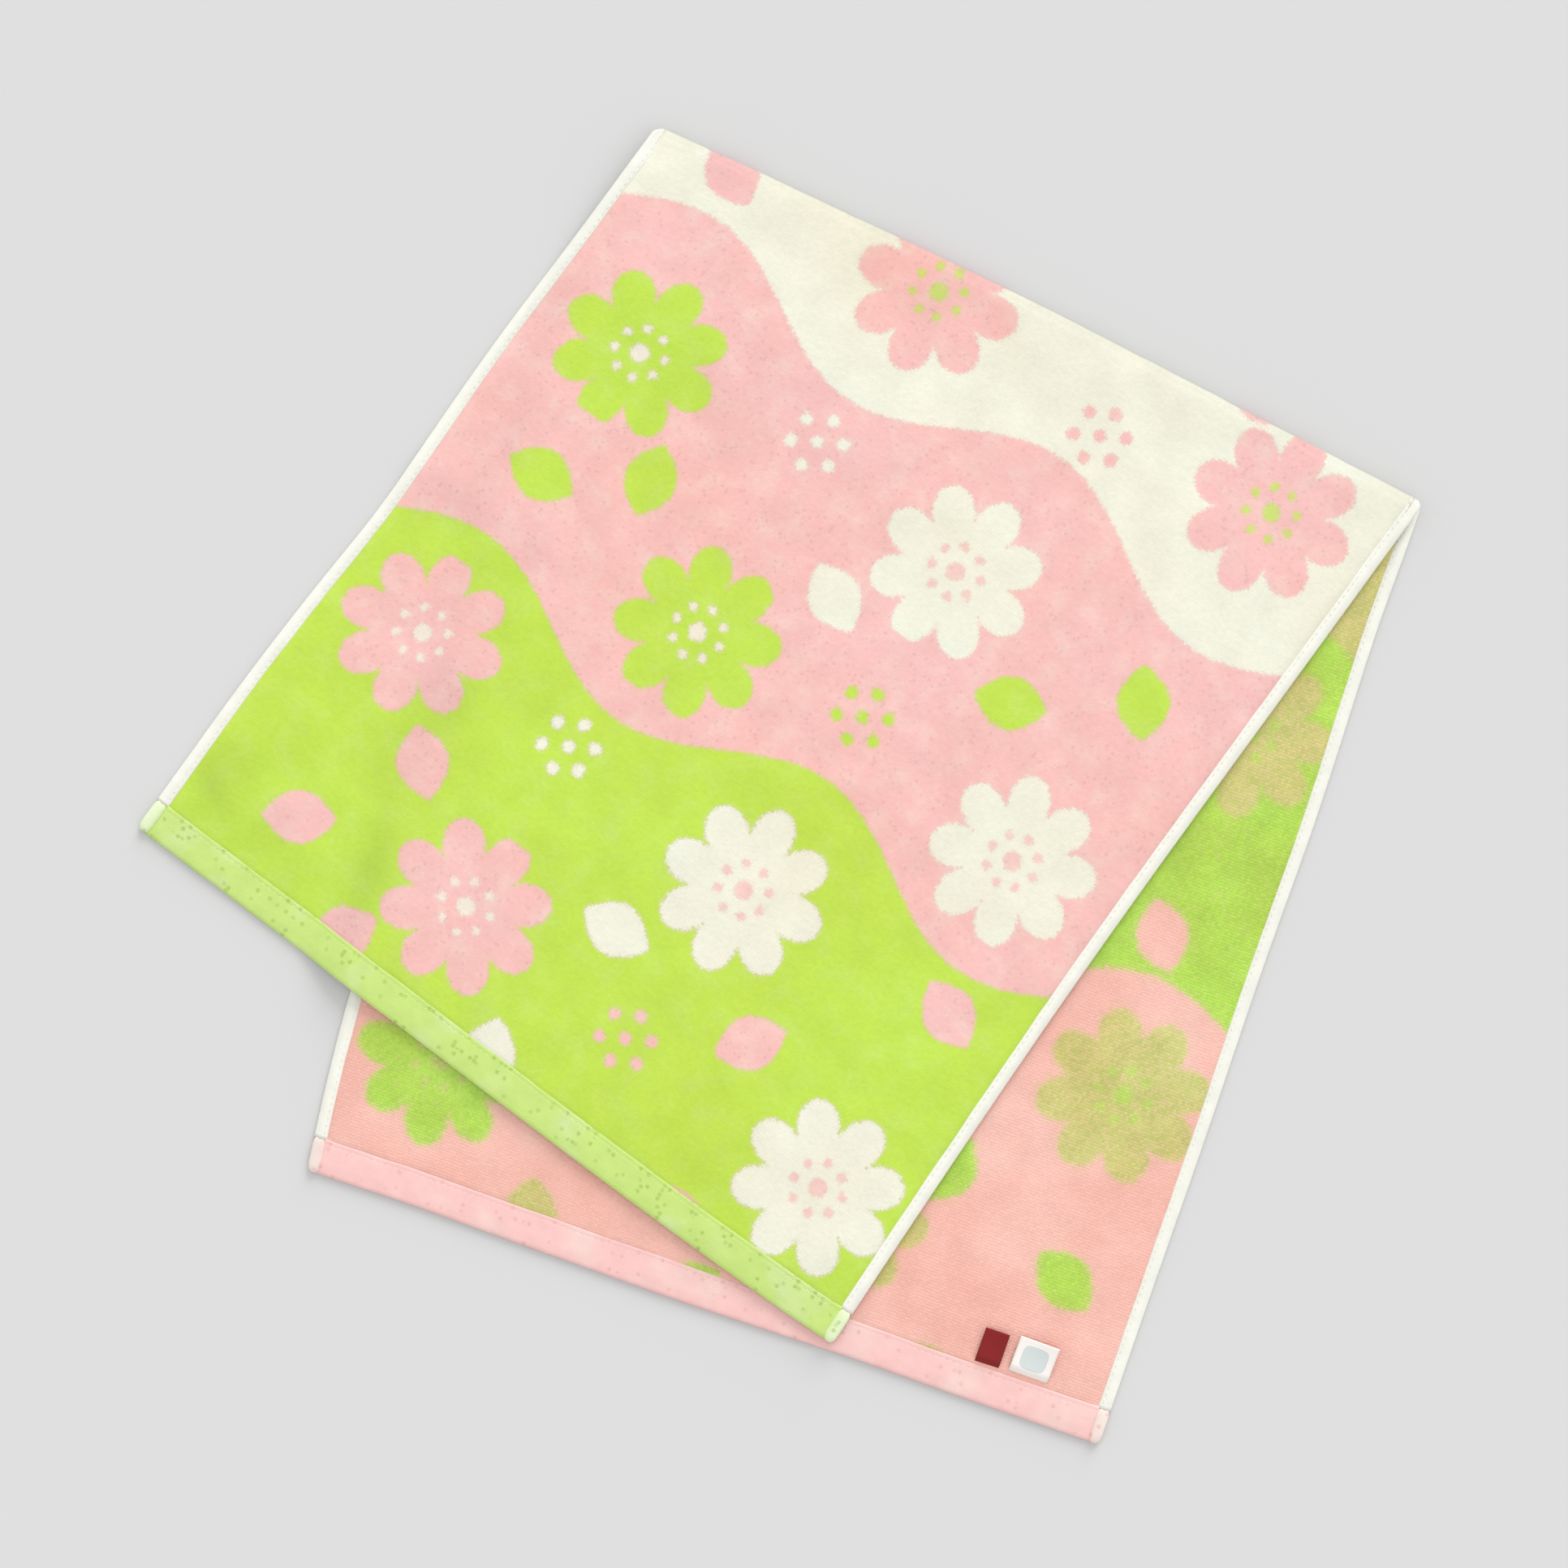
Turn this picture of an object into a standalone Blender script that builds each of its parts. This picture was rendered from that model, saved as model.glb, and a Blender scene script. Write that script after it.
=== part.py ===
"""Folded face towel of terry cloth: one cloth lying in two layers, and the two small labels in its end hem.

Units are metres and +Z is up. The towel rests on z = 0. +X runs along the lower layer's end hem and +Y runs
from that hem towards the fold. The origin is the middle of the towel's outline.

A place on the cloth is given by two towel coordinates. "Across" runs over the width, from the left side hem.
"Along" runs over the length: from the lower layer's end hem, round the fold, to the upper layer's end hem.
"""

from collections import namedtuple

import bpy
import numpy as np

# Flat towel
WIDTH = 0.340
LENGTH = 0.800

# Cloth thickness: pile cloth, and what the rolled side hems and flat end hems come to
PILE_THICK = 0.0026
SIDE_HEM = 0.0052
END_HEM = 0.0145
THINNEST = 0.0014
CORNER_EXTRA = 0.0004
CORNER_RADIUS = 0.0030
HEM_END_SHARE = 0.25

# Where the fold lies: distance along the towel at its left and at its right end, to the start of the bend
FOLD_ALONG_LEFT = 0.4430
FOLD_ALONG_RIGHT = 0.3915
FOLD_ACROSS_SKEW = 0.155
FOLD_OUTER_RADIUS = 0.0034
FOLD_FLATTENS_IN = 0.022

# How the upper layer lies: on the lower one, over its left edge, and down on the surface
LAYER_GAP = 0.0010
EDGE_LIFT = 0.0014
EDGE_LIFT_REACH = 0.018
DRAPE_START = 0.002
DRAPE_REACH = 0.026
HEM_SAG = 0.0007
HEM_SAG_FROM = 0.030
HEM_SAG_TO = 0.012

# Labels caught in the seam of the lower end hem
LABEL_THICK = 0.0005
LABEL_GAP = 0.0003

# An edge's bows fade out towards its corners: a higher power keeps them up for longer
BOW_FADE_POWER = 8

# Mesh fineness
FINE_ACROSS_TO = 0.150
FINE_COLUMNS = 16
PLAIN_COLUMNS = 9
LOWER_RINGS = 18
UPPER_RINGS = 24
BEND_STEPS = 10

# Corners of the towel's outline, from the left corner of the lower end hem
Corner = namedtuple("Corner", "x y")
CORNERS = {
    "lower_hem_left": Corner(0.0000, 0.0000),
    "lower_hem_right": Corner(0.3325, 0.0002),
    "fold_right": Corner(0.3310, 0.3951),
    "fold_left": Corner(-0.0044, 0.4363),
    "upper_hem_left": Corner(-0.1083, 0.1063),
    "upper_hem_right": Corner(0.2194, 0.0035),
}

# How far each edge leaves the straight line between its corners. Out is outwards, at and spread are shares of
# the edge. Side edges run from hem to fold, hems and the fold run from left to right.
Bow = namedtuple("Bow", "edge out at spread")
BOWS = (
    Bow("lower_left", 0.0068, 0.22, 0.24),
    Bow("lower_right", 0.0008, 0.66, 0.10),
    Bow("lower_right", -0.0007, 0.88, 0.08),
    Bow("lower_right", 0.0004, 0.32, 0.12),
    Bow("lower_hem", -0.0005, 0.13, 0.08),
    Bow("lower_hem", 0.0006, 0.45, 0.14),
    Bow("lower_hem", -0.0004, 0.70, 0.08),
    Bow("fold", 0.0030, 0.46, 0.38),
    Bow("upper_left", 0.0008, 0.20, 0.14),
    Bow("upper_left", -0.0015, 0.47, 0.10),
    Bow("upper_left", 0.0009, 0.73, 0.12),
    Bow("upper_right", -0.0033, 0.44, 0.38),
    Bow("upper_hem", 0.0021, 0.70, 0.40),
)

# Soft ridges of the upper layer: middle, direction from +X, half length, half width and height
Ridge = namedtuple("Ridge", "x y degrees half_length half_width height")
RIDGES = (
    Ridge(-0.078, 0.150, 88.0, 0.034, 0.010, 0.0011),
    Ridge(-0.030, 0.274, -6.0, 0.044, 0.011, 0.0010),
    Ridge(0.060, 0.160, 35.0, 0.060, 0.026, 0.0006),
    Ridge(0.190, 0.270, 62.0, 0.070, 0.028, 0.0007),
    Ridge(0.110, 0.350, -18.0, 0.070, 0.024, 0.0005),
    Ridge(0.150, 0.075, 70.0, 0.040, 0.020, 0.0005),
)

# Thickness of the hemmed edges, by distance from the edge
Step = namedtuple("Step", "inward thick")
SIDE_STEPS = (
    Step(0.0006, 0.0020),
    Step(0.0024, 0.0029),
    Step(0.0042, 0.0025),
    Step(SIDE_HEM, 0.0019),
    Step(0.0072, PILE_THICK),
)
END_STEPS = (
    Step(0.0006, 0.0014),
    Step(0.0022, 0.0019),
    Step(0.0130, 0.0019),
    Step(END_HEM, 0.0015),
    Step(0.0170, PILE_THICK),
)

# Labels: lower left corner, width and height on the lower layer, and colour
Label = namedtuple("Label", "name x y width height colour")
LABELS = (
    Label("label_narrow", 0.2748, 0.0158, 0.0099, 0.0143, (0.48, 0.05, 0.07)),
    Label("label_square", 0.2886, 0.0168, 0.0162, 0.0147, (0.86, 0.88, 0.90)),
)

CLOTH_COLOUR = (0.94, 0.57, 0.52)
CLOTH_ROUGHNESS = 0.95
LABEL_ROUGHNESS = 0.7


def ease(value, start, end):
    """0 before start, 1 after end, and a smooth cubic between them. Start may be the larger one."""
    share = np.clip((value - start) / (end - start), 0.0, 1.0)
    return share * share * (3.0 - 2.0 * share)


def bow(edge, share):
    """Outward shift along an edge: the sum of its bell-shaped bows, faded to nothing at both corners."""
    total = np.zeros_like(share)
    for row in BOWS:
        if row.edge == edge:
            total += row.out * np.exp(-(((share - row.at) / row.spread) ** 2))
    return total * (1.0 - (2.0 * share - 1.0) ** BOW_FADE_POWER)


def edge_line(edge, start, end, outward_turn, share):
    """Points of a bowed edge from start to end. The outward side is a quarter turn from the edge's direction."""
    run = end - start
    unit = run / np.hypot(*run)
    outward = outward_turn * np.array([-unit[1], unit[0]])
    return start + share[..., None] * run + bow(edge, share)[..., None] * outward


class Fold:
    """The line of the fold: its direction, its outward normal, and where the layers meet the bend."""

    def __init__(self):
        left = np.array(CORNERS["fold_left"])
        right = np.array(CORNERS["fold_right"])
        self.along = (right - left) / np.hypot(*(right - left))
        self.outward = np.array([-self.along[1], self.along[0]])
        middle_radius = FOLD_OUTER_RADIUS - PILE_THICK / 2.0
        self.drift = FOLD_ACROSS_SKEW * np.pi * middle_radius
        # The upper layer's left side and the lower layer's right side are the ones that show.
        self.upper_left = self.step_in(left, np.array(CORNERS["upper_hem_left"]))
        self.lower_right = self.step_in(right, np.array(CORNERS["lower_hem_right"]))
        self.lower_left = self.upper_left + self.drift * self.along
        self.upper_right = self.lower_right - self.drift * self.along

    def step_in(self, corner, hem_corner):
        """The point on a side edge that lies one bend radius inside the fold's outline."""
        run = hem_corner - corner
        return corner - run * FOLD_OUTER_RADIUS / (run @ self.outward)


FOLD = Fold()


def patch(left, right, hem, fold, across, share):
    """A layer's plan: the two side edges and the two end edges blended, less the four corners (Coons patch).

    Each edge is a function of a share. Across runs from left to right and share runs from hem to fold.
    """
    a = across[..., None]
    t = share[..., None]
    zero = np.zeros(1)
    one = np.ones(1)
    sides = (1.0 - a) * left(share) + a * right(share)
    ends = (1.0 - t) * hem(across) + t * fold(across)
    corners = (1.0 - t) * ((1.0 - a) * hem(zero) + a * hem(one)) + t * ((1.0 - a) * fold(zero) + a * fold(one))
    return sides + ends - corners


def lower_plan(across, share):
    """Plan position on the lower layer, from its end hem (share 0) to the bend (share 1)."""
    hem_left = np.array(CORNERS["lower_hem_left"])
    hem_right = np.array(CORNERS["lower_hem_right"])
    return patch(
        lambda s: edge_line("lower_left", hem_left, FOLD.lower_left, 1.0, s),
        lambda s: edge_line("lower_right", hem_right, FOLD.lower_right, -1.0, s),
        lambda a: edge_line("lower_hem", hem_left, hem_right, -1.0, a),
        lambda a: edge_line("fold", FOLD.lower_left, FOLD.lower_right, 1.0, a),
        across,
        share,
    )


def upper_plan(across, share):
    """Plan position on the upper layer, from its end hem (share 0) to the bend (share 1)."""
    hem_left = np.array(CORNERS["upper_hem_left"])
    hem_right = np.array(CORNERS["upper_hem_right"])
    return patch(
        lambda s: edge_line("upper_left", hem_left, FOLD.upper_left, 1.0, s),
        lambda s: edge_line("upper_right", hem_right, FOLD.upper_right, -1.0, s),
        lambda a: edge_line("upper_hem", hem_left, hem_right, -1.0, a),
        lambda a: edge_line("fold", FOLD.upper_left, FOLD.upper_right, 1.0, a),
        across,
        share,
    )


def bend_plan(across, angle):
    """Middle line of the bend: the fold's line, drifting along the fold as the cloth goes round."""
    base = edge_line("fold", FOLD.lower_left, FOLD.lower_right, 1.0, across)
    return base - (FOLD.drift * angle / np.pi)[..., None] * FOLD.along


def round_corner(inward, along_in):
    """Distances from the side and from the hem, with the square corner drawn in to a quarter circle."""
    side = np.clip(CORNER_RADIUS - inward, 0.0, None)
    end = np.clip(CORNER_RADIUS - along_in, 0.0, None)
    reach = np.hypot(side, end)
    scale = np.where(reach > 0.0, np.maximum(side, end) / np.where(reach > 0.0, reach, 1.0), 1.0)
    return inward + side * (1.0 - scale), along_in + end * (1.0 - scale)


def profile(steps, inward):
    """Thickness read from a table of steps, straight between its rows."""
    return np.interp(inward, [row.inward for row in steps], [row.thick for row in steps])


def thickness(inward, along_in):
    """Thickness by distance from the nearer side and nearer end hem. A corner has both hems folded together."""
    side = profile(SIDE_STEPS, inward)
    end = profile(END_STEPS, along_in)
    in_corner = (inward < SIDE_HEM) & (along_in < END_HEM)
    both = np.maximum(side + end - PILE_THICK, THINNEST)
    return np.where(in_corner, side + CORNER_EXTRA, both)


def left_of_lower(plan):
    """Distance of a plan position outside the lower layer's left edge, measured along X."""
    start = np.array(CORNERS["lower_hem_left"])
    share = np.clip((plan[..., 1] - start[1]) / (FOLD.lower_left[1] - start[1]), 0.0, 1.0)
    return edge_line("lower_left", start, FOLD.lower_left, 1.0, share)[..., 0] - plan[..., 0]


def ridges(plan):
    """Height of the soft ridges: long bell shapes in plan, each turned to its own direction."""
    total = np.zeros(plan.shape[:-1])
    for row in RIDGES:
        turn = np.radians(row.degrees)
        dx = plan[..., 0] - row.x
        dy = plan[..., 1] - row.y
        forward = dx * np.cos(turn) + dy * np.sin(turn)
        sideways = dy * np.cos(turn) - dx * np.sin(turn)
        total += row.height * np.exp(-((forward / row.half_length) ** 2) - (sideways / row.half_width) ** 2)
    return total


def upper_underside(plan):
    """Height of the upper layer's underside: over the lower layer, over its edge, and down to the surface."""
    outside = left_of_lower(plan)
    lift = EDGE_LIFT * np.exp(-((np.minimum(outside, 0.0) / EDGE_LIFT_REACH) ** 2))
    sag = HEM_SAG * ease(plan[..., 1], HEM_SAG_FROM, HEM_SAG_TO)
    held_up = PILE_THICK + LAYER_GAP + lift - sag
    return held_up * (1.0 - ease(outside, DRAPE_START, DRAPE_REACH)) + ridges(plan)


def across_columns():
    """Places across the towel: close together in the hems and where the cloth drapes, wider elsewhere."""
    hem = [row.inward for row in SIDE_STEPS]
    fine = np.linspace(hem[-1], FINE_ACROSS_TO, FINE_COLUMNS)
    plain = np.linspace(FINE_ACROSS_TO, WIDTH - hem[-1], PLAIN_COLUMNS + 1)[1:]
    return np.concatenate([hem[:-1], fine, plain, WIDTH - np.array(hem[-2::-1])])


def layer_rings(along_at_bend, count):
    """Distances from the end hem for each ring, one row a ring: level near the hem, then turning to the fold."""
    hem = [0.0] + [row.inward for row in END_STEPS]
    level = np.array(hem)[:, None] + np.zeros_like(along_at_bend)
    share = np.linspace(0.0, 1.0, count + 1)[1:, None]
    turning = hem[-1] + share * (along_at_bend - hem[-1])
    return np.concatenate([level, turning])


def ring_points(plan_of, across, along_in, along_at_bend):
    """Plan positions of one layer's rings and the cloth's thickness there."""
    inward = np.minimum(across, WIDTH - across) + np.zeros_like(along_in)
    moved_in, moved_along = round_corner(inward, along_in)
    moved_across = np.where(across < WIDTH / 2.0, moved_in, WIDTH - moved_in)
    plan = plan_of(moved_across / WIDTH, moved_along / along_at_bend)
    return plan, thickness(inward, along_in)


def cloth_rings():
    """Every ring of the cloth as points of its front and back faces, from the lower hem to the upper hem."""
    across = np.concatenate([[0.0], across_columns(), [WIDTH]])
    share = across / WIDTH
    lower_at_bend = FOLD_ALONG_LEFT + share * (FOLD_ALONG_RIGHT - FOLD_ALONG_LEFT)
    bend_length = np.pi * (FOLD_OUTER_RADIUS - PILE_THICK / 2.0)
    upper_at_bend = LENGTH - lower_at_bend - bend_length

    # Lower layer: its front lies flat on the surface.
    plan, thick = ring_points(lower_plan, across, layer_rings(lower_at_bend, LOWER_RINGS), lower_at_bend)
    lower_front = np.dstack([plan, np.zeros_like(thick)])
    lower_back = np.dstack([plan, thick])

    # Bend: half a turn about a line one outer radius above the surface.
    angle = np.linspace(0.0, np.pi, BEND_STEPS + 1)[1:-1, None] + np.zeros_like(share)
    middle = bend_plan(share + np.zeros_like(angle), angle)
    inner_radius = FOLD_OUTER_RADIUS - thickness(np.minimum(across, WIDTH - across), np.full_like(across, LENGTH / 2))
    bend_faces = []
    for radius in (FOLD_OUTER_RADIUS, inner_radius):
        plan = middle + (radius * np.sin(angle))[..., None] * FOLD.outward
        bend_faces.append(np.dstack([plan, FOLD_OUTER_RADIUS - radius * np.cos(angle)]))

    # Upper layer: its front is on top, level with the bend's top near the fold.
    along_in = layer_rings(upper_at_bend, UPPER_RINGS)
    plan, thick = ring_points(upper_plan, across, along_in, upper_at_bend)
    near_fold = 1.0 - ease(upper_at_bend - along_in, 0.0, FOLD_FLATTENS_IN)
    top = near_fold * 2.0 * FOLD_OUTER_RADIUS + (1.0 - near_fold) * (upper_underside(plan) + thick)
    upper_front = np.dstack([plan, top])[::-1]
    upper_back = np.dstack([plan, top - thick])[::-1]

    front = np.concatenate([lower_front, bend_faces[0], upper_front])
    back = np.concatenate([lower_back, bend_faces[1], upper_back])
    return front, back


def close_rings(front, back):
    """Rings of points round the cloth: left edge, front face, right edge, back face. Both hem ends are thinned."""
    middle = (front + back) / 2.0
    for end in (0, -1):
        front[end] = middle[end] + HEM_END_SHARE * (front[end] - middle[end])
        back[end] = middle[end] + HEM_END_SHARE * (back[end] - middle[end])
    return np.concatenate([middle[:, :1], front[:, 1:-1], middle[:, -1:], back[:, -2:0:-1]], axis=1)


def cloth_faces(rings, points):
    """Quads between neighbouring rings, and the two hem ends closed with strips across them."""
    faces = []
    for ring in range(rings - 1):
        for point in range(points):
            following = (point + 1) % points
            here = ring * points
            there = here + points
            faces.append((here + point, there + point, there + following, here + following))
    half = points // 2
    for first, turned in ((0, False), ((rings - 1) * points, True)):
        for step in range(half):
            strip = [step, step + 1, (points - step - 1) % points, (points - step) % points]
            corners = [first + number for number in dict.fromkeys(strip)]
            faces.append(tuple(corners[::-1] if turned else corners))
    return faces


def material(name, colour, roughness):
    """A plain cloth finish."""
    made = bpy.data.materials.new(name)
    made.use_nodes = True
    shader = made.node_tree.nodes["Principled BSDF"]
    shader.inputs["Base Color"].default_value = (*colour, 1.0)
    shader.inputs["Roughness"].default_value = roughness
    shader.inputs["Metallic"].default_value = 0.0
    return made


def add_object(name, points, faces, finish):
    """A new smooth mesh object at the origin, with its place in its mesh."""
    mesh = bpy.data.meshes.new(name)
    mesh.from_pydata([tuple(point) for point in points], [], faces)
    mesh.materials.append(finish)
    mesh.shade_smooth()
    mesh.update()
    made = bpy.data.objects.new(name, mesh)
    bpy.context.scene.collection.objects.link(made)
    return made


def label_points(row, shift):
    """The eight corners of a label, lying a little above the pile."""
    low = PILE_THICK + LABEL_GAP
    points = []
    for z in (low, low + LABEL_THICK):
        points += [(row.x, row.y, z), (row.x + row.width, row.y, z)]
        points += [(row.x + row.width, row.y + row.height, z), (row.x, row.y + row.height, z)]
    return np.array(points) - shift


# Faces of a label, by the numbers of its corners
BOX_FACES = [(3, 2, 1, 0), (4, 5, 6, 7), (0, 1, 5, 4), (1, 2, 6, 5), (2, 3, 7, 6), (3, 0, 4, 7)]


def build():
    """Clears the scene, then adds the cloth and its labels about the middle of the towel's outline."""
    for old in list(bpy.data.objects):
        bpy.data.objects.remove(old, do_unlink=True)

    front, back = cloth_rings()
    loops = close_rings(front, back)
    points = loops.reshape(-1, 3)
    middle = (points.min(axis=0) + points.max(axis=0)) / 2.0
    shift = np.array([middle[0], middle[1], 0.0])

    cloth = material("terry_cloth", CLOTH_COLOUR, CLOTH_ROUGHNESS)
    add_object("towel_cloth", points - shift, cloth_faces(*loops.shape[:2]), cloth)
    for row in LABELS:
        tape = material(row.name, row.colour, LABEL_ROUGHNESS)
        add_object(row.name, label_points(row, shift), BOX_FACES, tape)


build()
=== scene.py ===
"""Looks of the folded face towel: pile, loops, hems, seams and labels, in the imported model's frame.

Every cloth piece is computed in towel coordinates. "Across" runs over the width from the left side hem, and
"along" runs over the length: from the lower layer's end hem, round the fold, to the upper layer's end hem.
"Depth" is measured from the front face towards the back face. All lengths are metres.
"""

from collections import namedtuple
from functools import partialmethod

import bpy
import numpy as np
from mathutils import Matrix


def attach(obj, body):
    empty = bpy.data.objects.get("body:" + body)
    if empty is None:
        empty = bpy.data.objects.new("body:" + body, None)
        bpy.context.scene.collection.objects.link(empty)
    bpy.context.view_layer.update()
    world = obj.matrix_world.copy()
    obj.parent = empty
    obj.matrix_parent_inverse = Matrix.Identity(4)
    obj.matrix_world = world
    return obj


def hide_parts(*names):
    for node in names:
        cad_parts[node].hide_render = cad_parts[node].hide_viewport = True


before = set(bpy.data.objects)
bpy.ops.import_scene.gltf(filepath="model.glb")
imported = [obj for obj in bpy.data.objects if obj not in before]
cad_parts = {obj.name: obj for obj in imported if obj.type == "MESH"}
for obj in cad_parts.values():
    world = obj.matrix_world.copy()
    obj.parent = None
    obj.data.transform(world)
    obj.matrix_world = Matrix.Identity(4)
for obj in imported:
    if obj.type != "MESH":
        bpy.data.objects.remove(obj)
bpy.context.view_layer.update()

# Flat towel and its folds, as in the CAD
WIDTH = 0.340
LENGTH = 0.800
PILE_THICK = 0.0026
SIDE_HEM = 0.0052
END_HEM = 0.0145
FOLD_ALONG_LEFT = 0.4430
FOLD_ALONG_RIGHT = 0.3915
FOLD_ACROSS_SKEW = 0.155
FOLD_OUTER_RADIUS = 0.0034
FOLD_FLATTENS_IN = 0.022
BEND_LENGTH = np.pi * (FOLD_OUTER_RADIUS - PILE_THICK / 2.0)
LAYER_GAP = 0.0010
EDGE_LIFT = 0.0014
EDGE_LIFT_REACH = 0.018
DRAPE_START = 0.002
DRAPE_REACH = 0.026
HEM_SAG = 0.0007
HEM_SAG_FROM = 0.030
HEM_SAG_TO = 0.012
BOW_FADE_POWER = 8

# Middle of the towel's outline, which is the frame's origin
MIDDLE = np.array([0.1124457, 0.2178758, 0.0])

CORNERS = {
    "lower_hem_left": np.array([0.0000, 0.0000]),
    "lower_hem_right": np.array([0.3325, 0.0002]),
    "fold_right": np.array([0.3310, 0.3951]),
    "fold_left": np.array([-0.0044, 0.4363]),
    "upper_hem_left": np.array([-0.1083, 0.1063]),
    "upper_hem_right": np.array([0.2194, 0.0035]),
}

# Bell-shaped bows of the outline: how far out, where along the edge and how wide, as shares of it
Bow = namedtuple("Bow", "edge out at spread")
BOWS = (
    Bow("lower_left", 0.0068, 0.22, 0.24),
    Bow("lower_right", 0.0008, 0.66, 0.10),
    Bow("lower_right", -0.0007, 0.88, 0.08),
    Bow("lower_right", 0.0004, 0.32, 0.12),
    Bow("lower_hem", -0.0005, 0.13, 0.08),
    Bow("lower_hem", 0.0006, 0.45, 0.14),
    Bow("lower_hem", -0.0004, 0.70, 0.08),
    Bow("fold", 0.0030, 0.46, 0.38),
    Bow("upper_left", 0.0008, 0.20, 0.14),
    Bow("upper_left", -0.0015, 0.47, 0.10),
    Bow("upper_left", 0.0009, 0.73, 0.12),
    Bow("upper_right", -0.0033, 0.44, 0.38),
    Bow("upper_hem", 0.0021, 0.70, 0.40),
)

# Soft spots of the upper layer: middle, direction from +X, half length, half width and amount
Spot = namedtuple("Spot", "x y degrees half_length half_width amount")

# Ridges and troughs: the amount is their height
RIDGES = (
    Spot(-0.078, 0.150, 88.0, 0.034, 0.010, 0.0011),
    Spot(-0.030, 0.274, -6.0, 0.044, 0.011, 0.0010),
    Spot(0.060, 0.160, 35.0, 0.060, 0.026, 0.0006),
    Spot(0.190, 0.270, 62.0, 0.070, 0.028, 0.0007),
    Spot(0.110, 0.350, -18.0, 0.070, 0.024, 0.0005),
    Spot(0.150, 0.075, 70.0, 0.040, 0.020, 0.0005),
)

# Painted shade on the upper layer's front, where it slopes down past the lower layer's edge and in its small
# creases: the amount is the share of light taken off the colour
PAINTED_SHADE_SPOTS = (
    Spot(-0.014, 0.116, 93.0, 0.023, 0.007, 0.1),
    Spot(-0.085, 0.132, 130.0, 0.011, 0.005, 0.13),
    Spot(-0.084, 0.145, 171.0, 0.019, 0.010, 0.06),
    Spot(-0.012, 0.192, 48.0, 0.016, 0.010, 0.08),
    Spot(-0.034, 0.277, 169.0, 0.021, 0.009, 0.08),
    Spot(0.048, 0.344, 173.0, 0.039, 0.019, 0.035),
    Spot(-0.011, 0.160, 85.0, 0.074, 0.011, 0.05),
    Spot(-0.068, 0.120, 163.0, 0.035, 0.016, 0.04),
)

# The CAD cloth's thickness by distance from a side edge, and from an end edge
Steps = namedtuple("Steps", "inward thick")
SIDE_STEPS = Steps((0.0006, 0.0024, 0.0042, SIDE_HEM, 0.0072), (0.0020, 0.0029, 0.0025, 0.0019, PILE_THICK))
END_STEPS = Steps((0.0006, 0.0022, 0.0130, END_HEM, 0.0170), (0.0014, 0.0019, 0.0019, 0.0015, PILE_THICK))

# Thickness of the finished hems by distance from the edge, with the groove that the seam pulls in
ROLLED_PROFILE = Steps(
    (0.0, 0.0001, 0.00032, 0.00075, 0.0015, 0.0024, 0.0032, 0.0037, 0.0041, 0.0045, 0.0049, 0.0053, 0.00555),
    (0.0002, 0.0009, 0.0015, 0.0020, 0.0024, 0.0026, 0.0026, 0.0025, 0.0023, 0.0024, 0.0023, 0.0020, 0.0012),
)
FLAT_PROFILE = Steps(
    (
        0.0, 0.0001, 0.00035, 0.00085, 0.0018, 0.0060, 0.0095,
        0.0118, 0.01235, 0.0127, 0.01305, 0.0137, 0.0143, 0.0148,
    ),
    (
        0.0003, 0.0010, 0.0016, 0.0019, 0.0021, 0.0021, 0.0021,
        0.0021, 0.0021, 0.0020, 0.0021, 0.0021, 0.0021, 0.0015,
    ),
)
SIDE_SEAM = 0.00410
END_SEAM = 0.01270
SIDE_HEM_STARTS = 0.0141

# Unevenness of a hem: its short and long waves, the short ones' share, and its part of reach and thickness
Waver = namedtuple("Waver", "short long share reach thick")
SIDE_WAVER = Waver(0.009, 0.022, 0.6, 0.020, 0.035)
END_WAVER = Waver(0.010, 0.030, 0.5, 0.012, 0.030)
SEEDS = {"pile_cloth": 11, "hem_left": 21, "hem_right": 22, "hem_lower": 31, "hem_upper": 32}

# Corner blocks: half sizes, powers of their superellipses, and how far round a block the front's colour goes
CORNER_RINGS = 15
CORNER_SIDES = 24
CORNER_HALF_IN = 0.00265
CORNER_HALF_ALONG = 0.00735
CORNER_HALF_THICK = 0.00150
CORNER_ENDS_AT = 0.999
CORNER_END_POWERS = (5.0, 2.6)
CORNER_FLANK_POWER = 0.62
CORNER_FACE_POWER = 0.75
CORNER_SHOWS = 0.6

# Pile body: how far it goes under the hems, and how its edge is rounded
BODY_UNDER_SIDE = 0.0038
BODY_UNDER_END = 0.0126
SIDE_EDGE_THICK = 0.0012
SIDE_RISE = (0.0044, 0.0068)
END_RISE = (0.0138, 0.0280)
BODY_NEXT_RING = 0.0138
BODY_END_STEPS = Steps((BODY_UNDER_END, BODY_NEXT_RING, 0.0151, 0.0300), (0.0012, 0.0020, 0.0021, PILE_THICK))

# How much narrower the side hems are pinched at the middle of the bend
PINCH = 0.0022

# How far the colour of the face that shows goes round the outer edge of an end hem
WRAP = 0.0008

# Mesh fineness
BODY_COLUMNS = 136
BODY_LOWER_RINGS = 170
BODY_UPPER_RINGS = 152
BEND_RINGS = 12
HEM_PITCH = 0.0016
HEM_UPPER_RINGS_LESS = 20

# Unevenness of the pile: size of the bumps and how high they are
Relief = namedtuple("Relief", "cell front back")
RELIEFS = (
    Relief(0.0240, 0.00018, 0.00012),
    Relief(0.0085, 0.00012, 0.00010),
    Relief(0.0024, 0.00005, 0.00012),
)

# Seams: stitch length, gap, thread radius, its thinning at the ends, how deep they go and how proud it lies
STITCH_LENGTH = 0.0024
STITCH_GAP = 0.0006
THREAD_RADIUS = 0.00017
STITCH_THINS = 0.97
STITCH_DIP = 0.00030
STITCH_PROUD = 0.3 * THREAD_RADIUS
STITCH_RINGS = 5
STITCH_SIDES = 6

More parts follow.
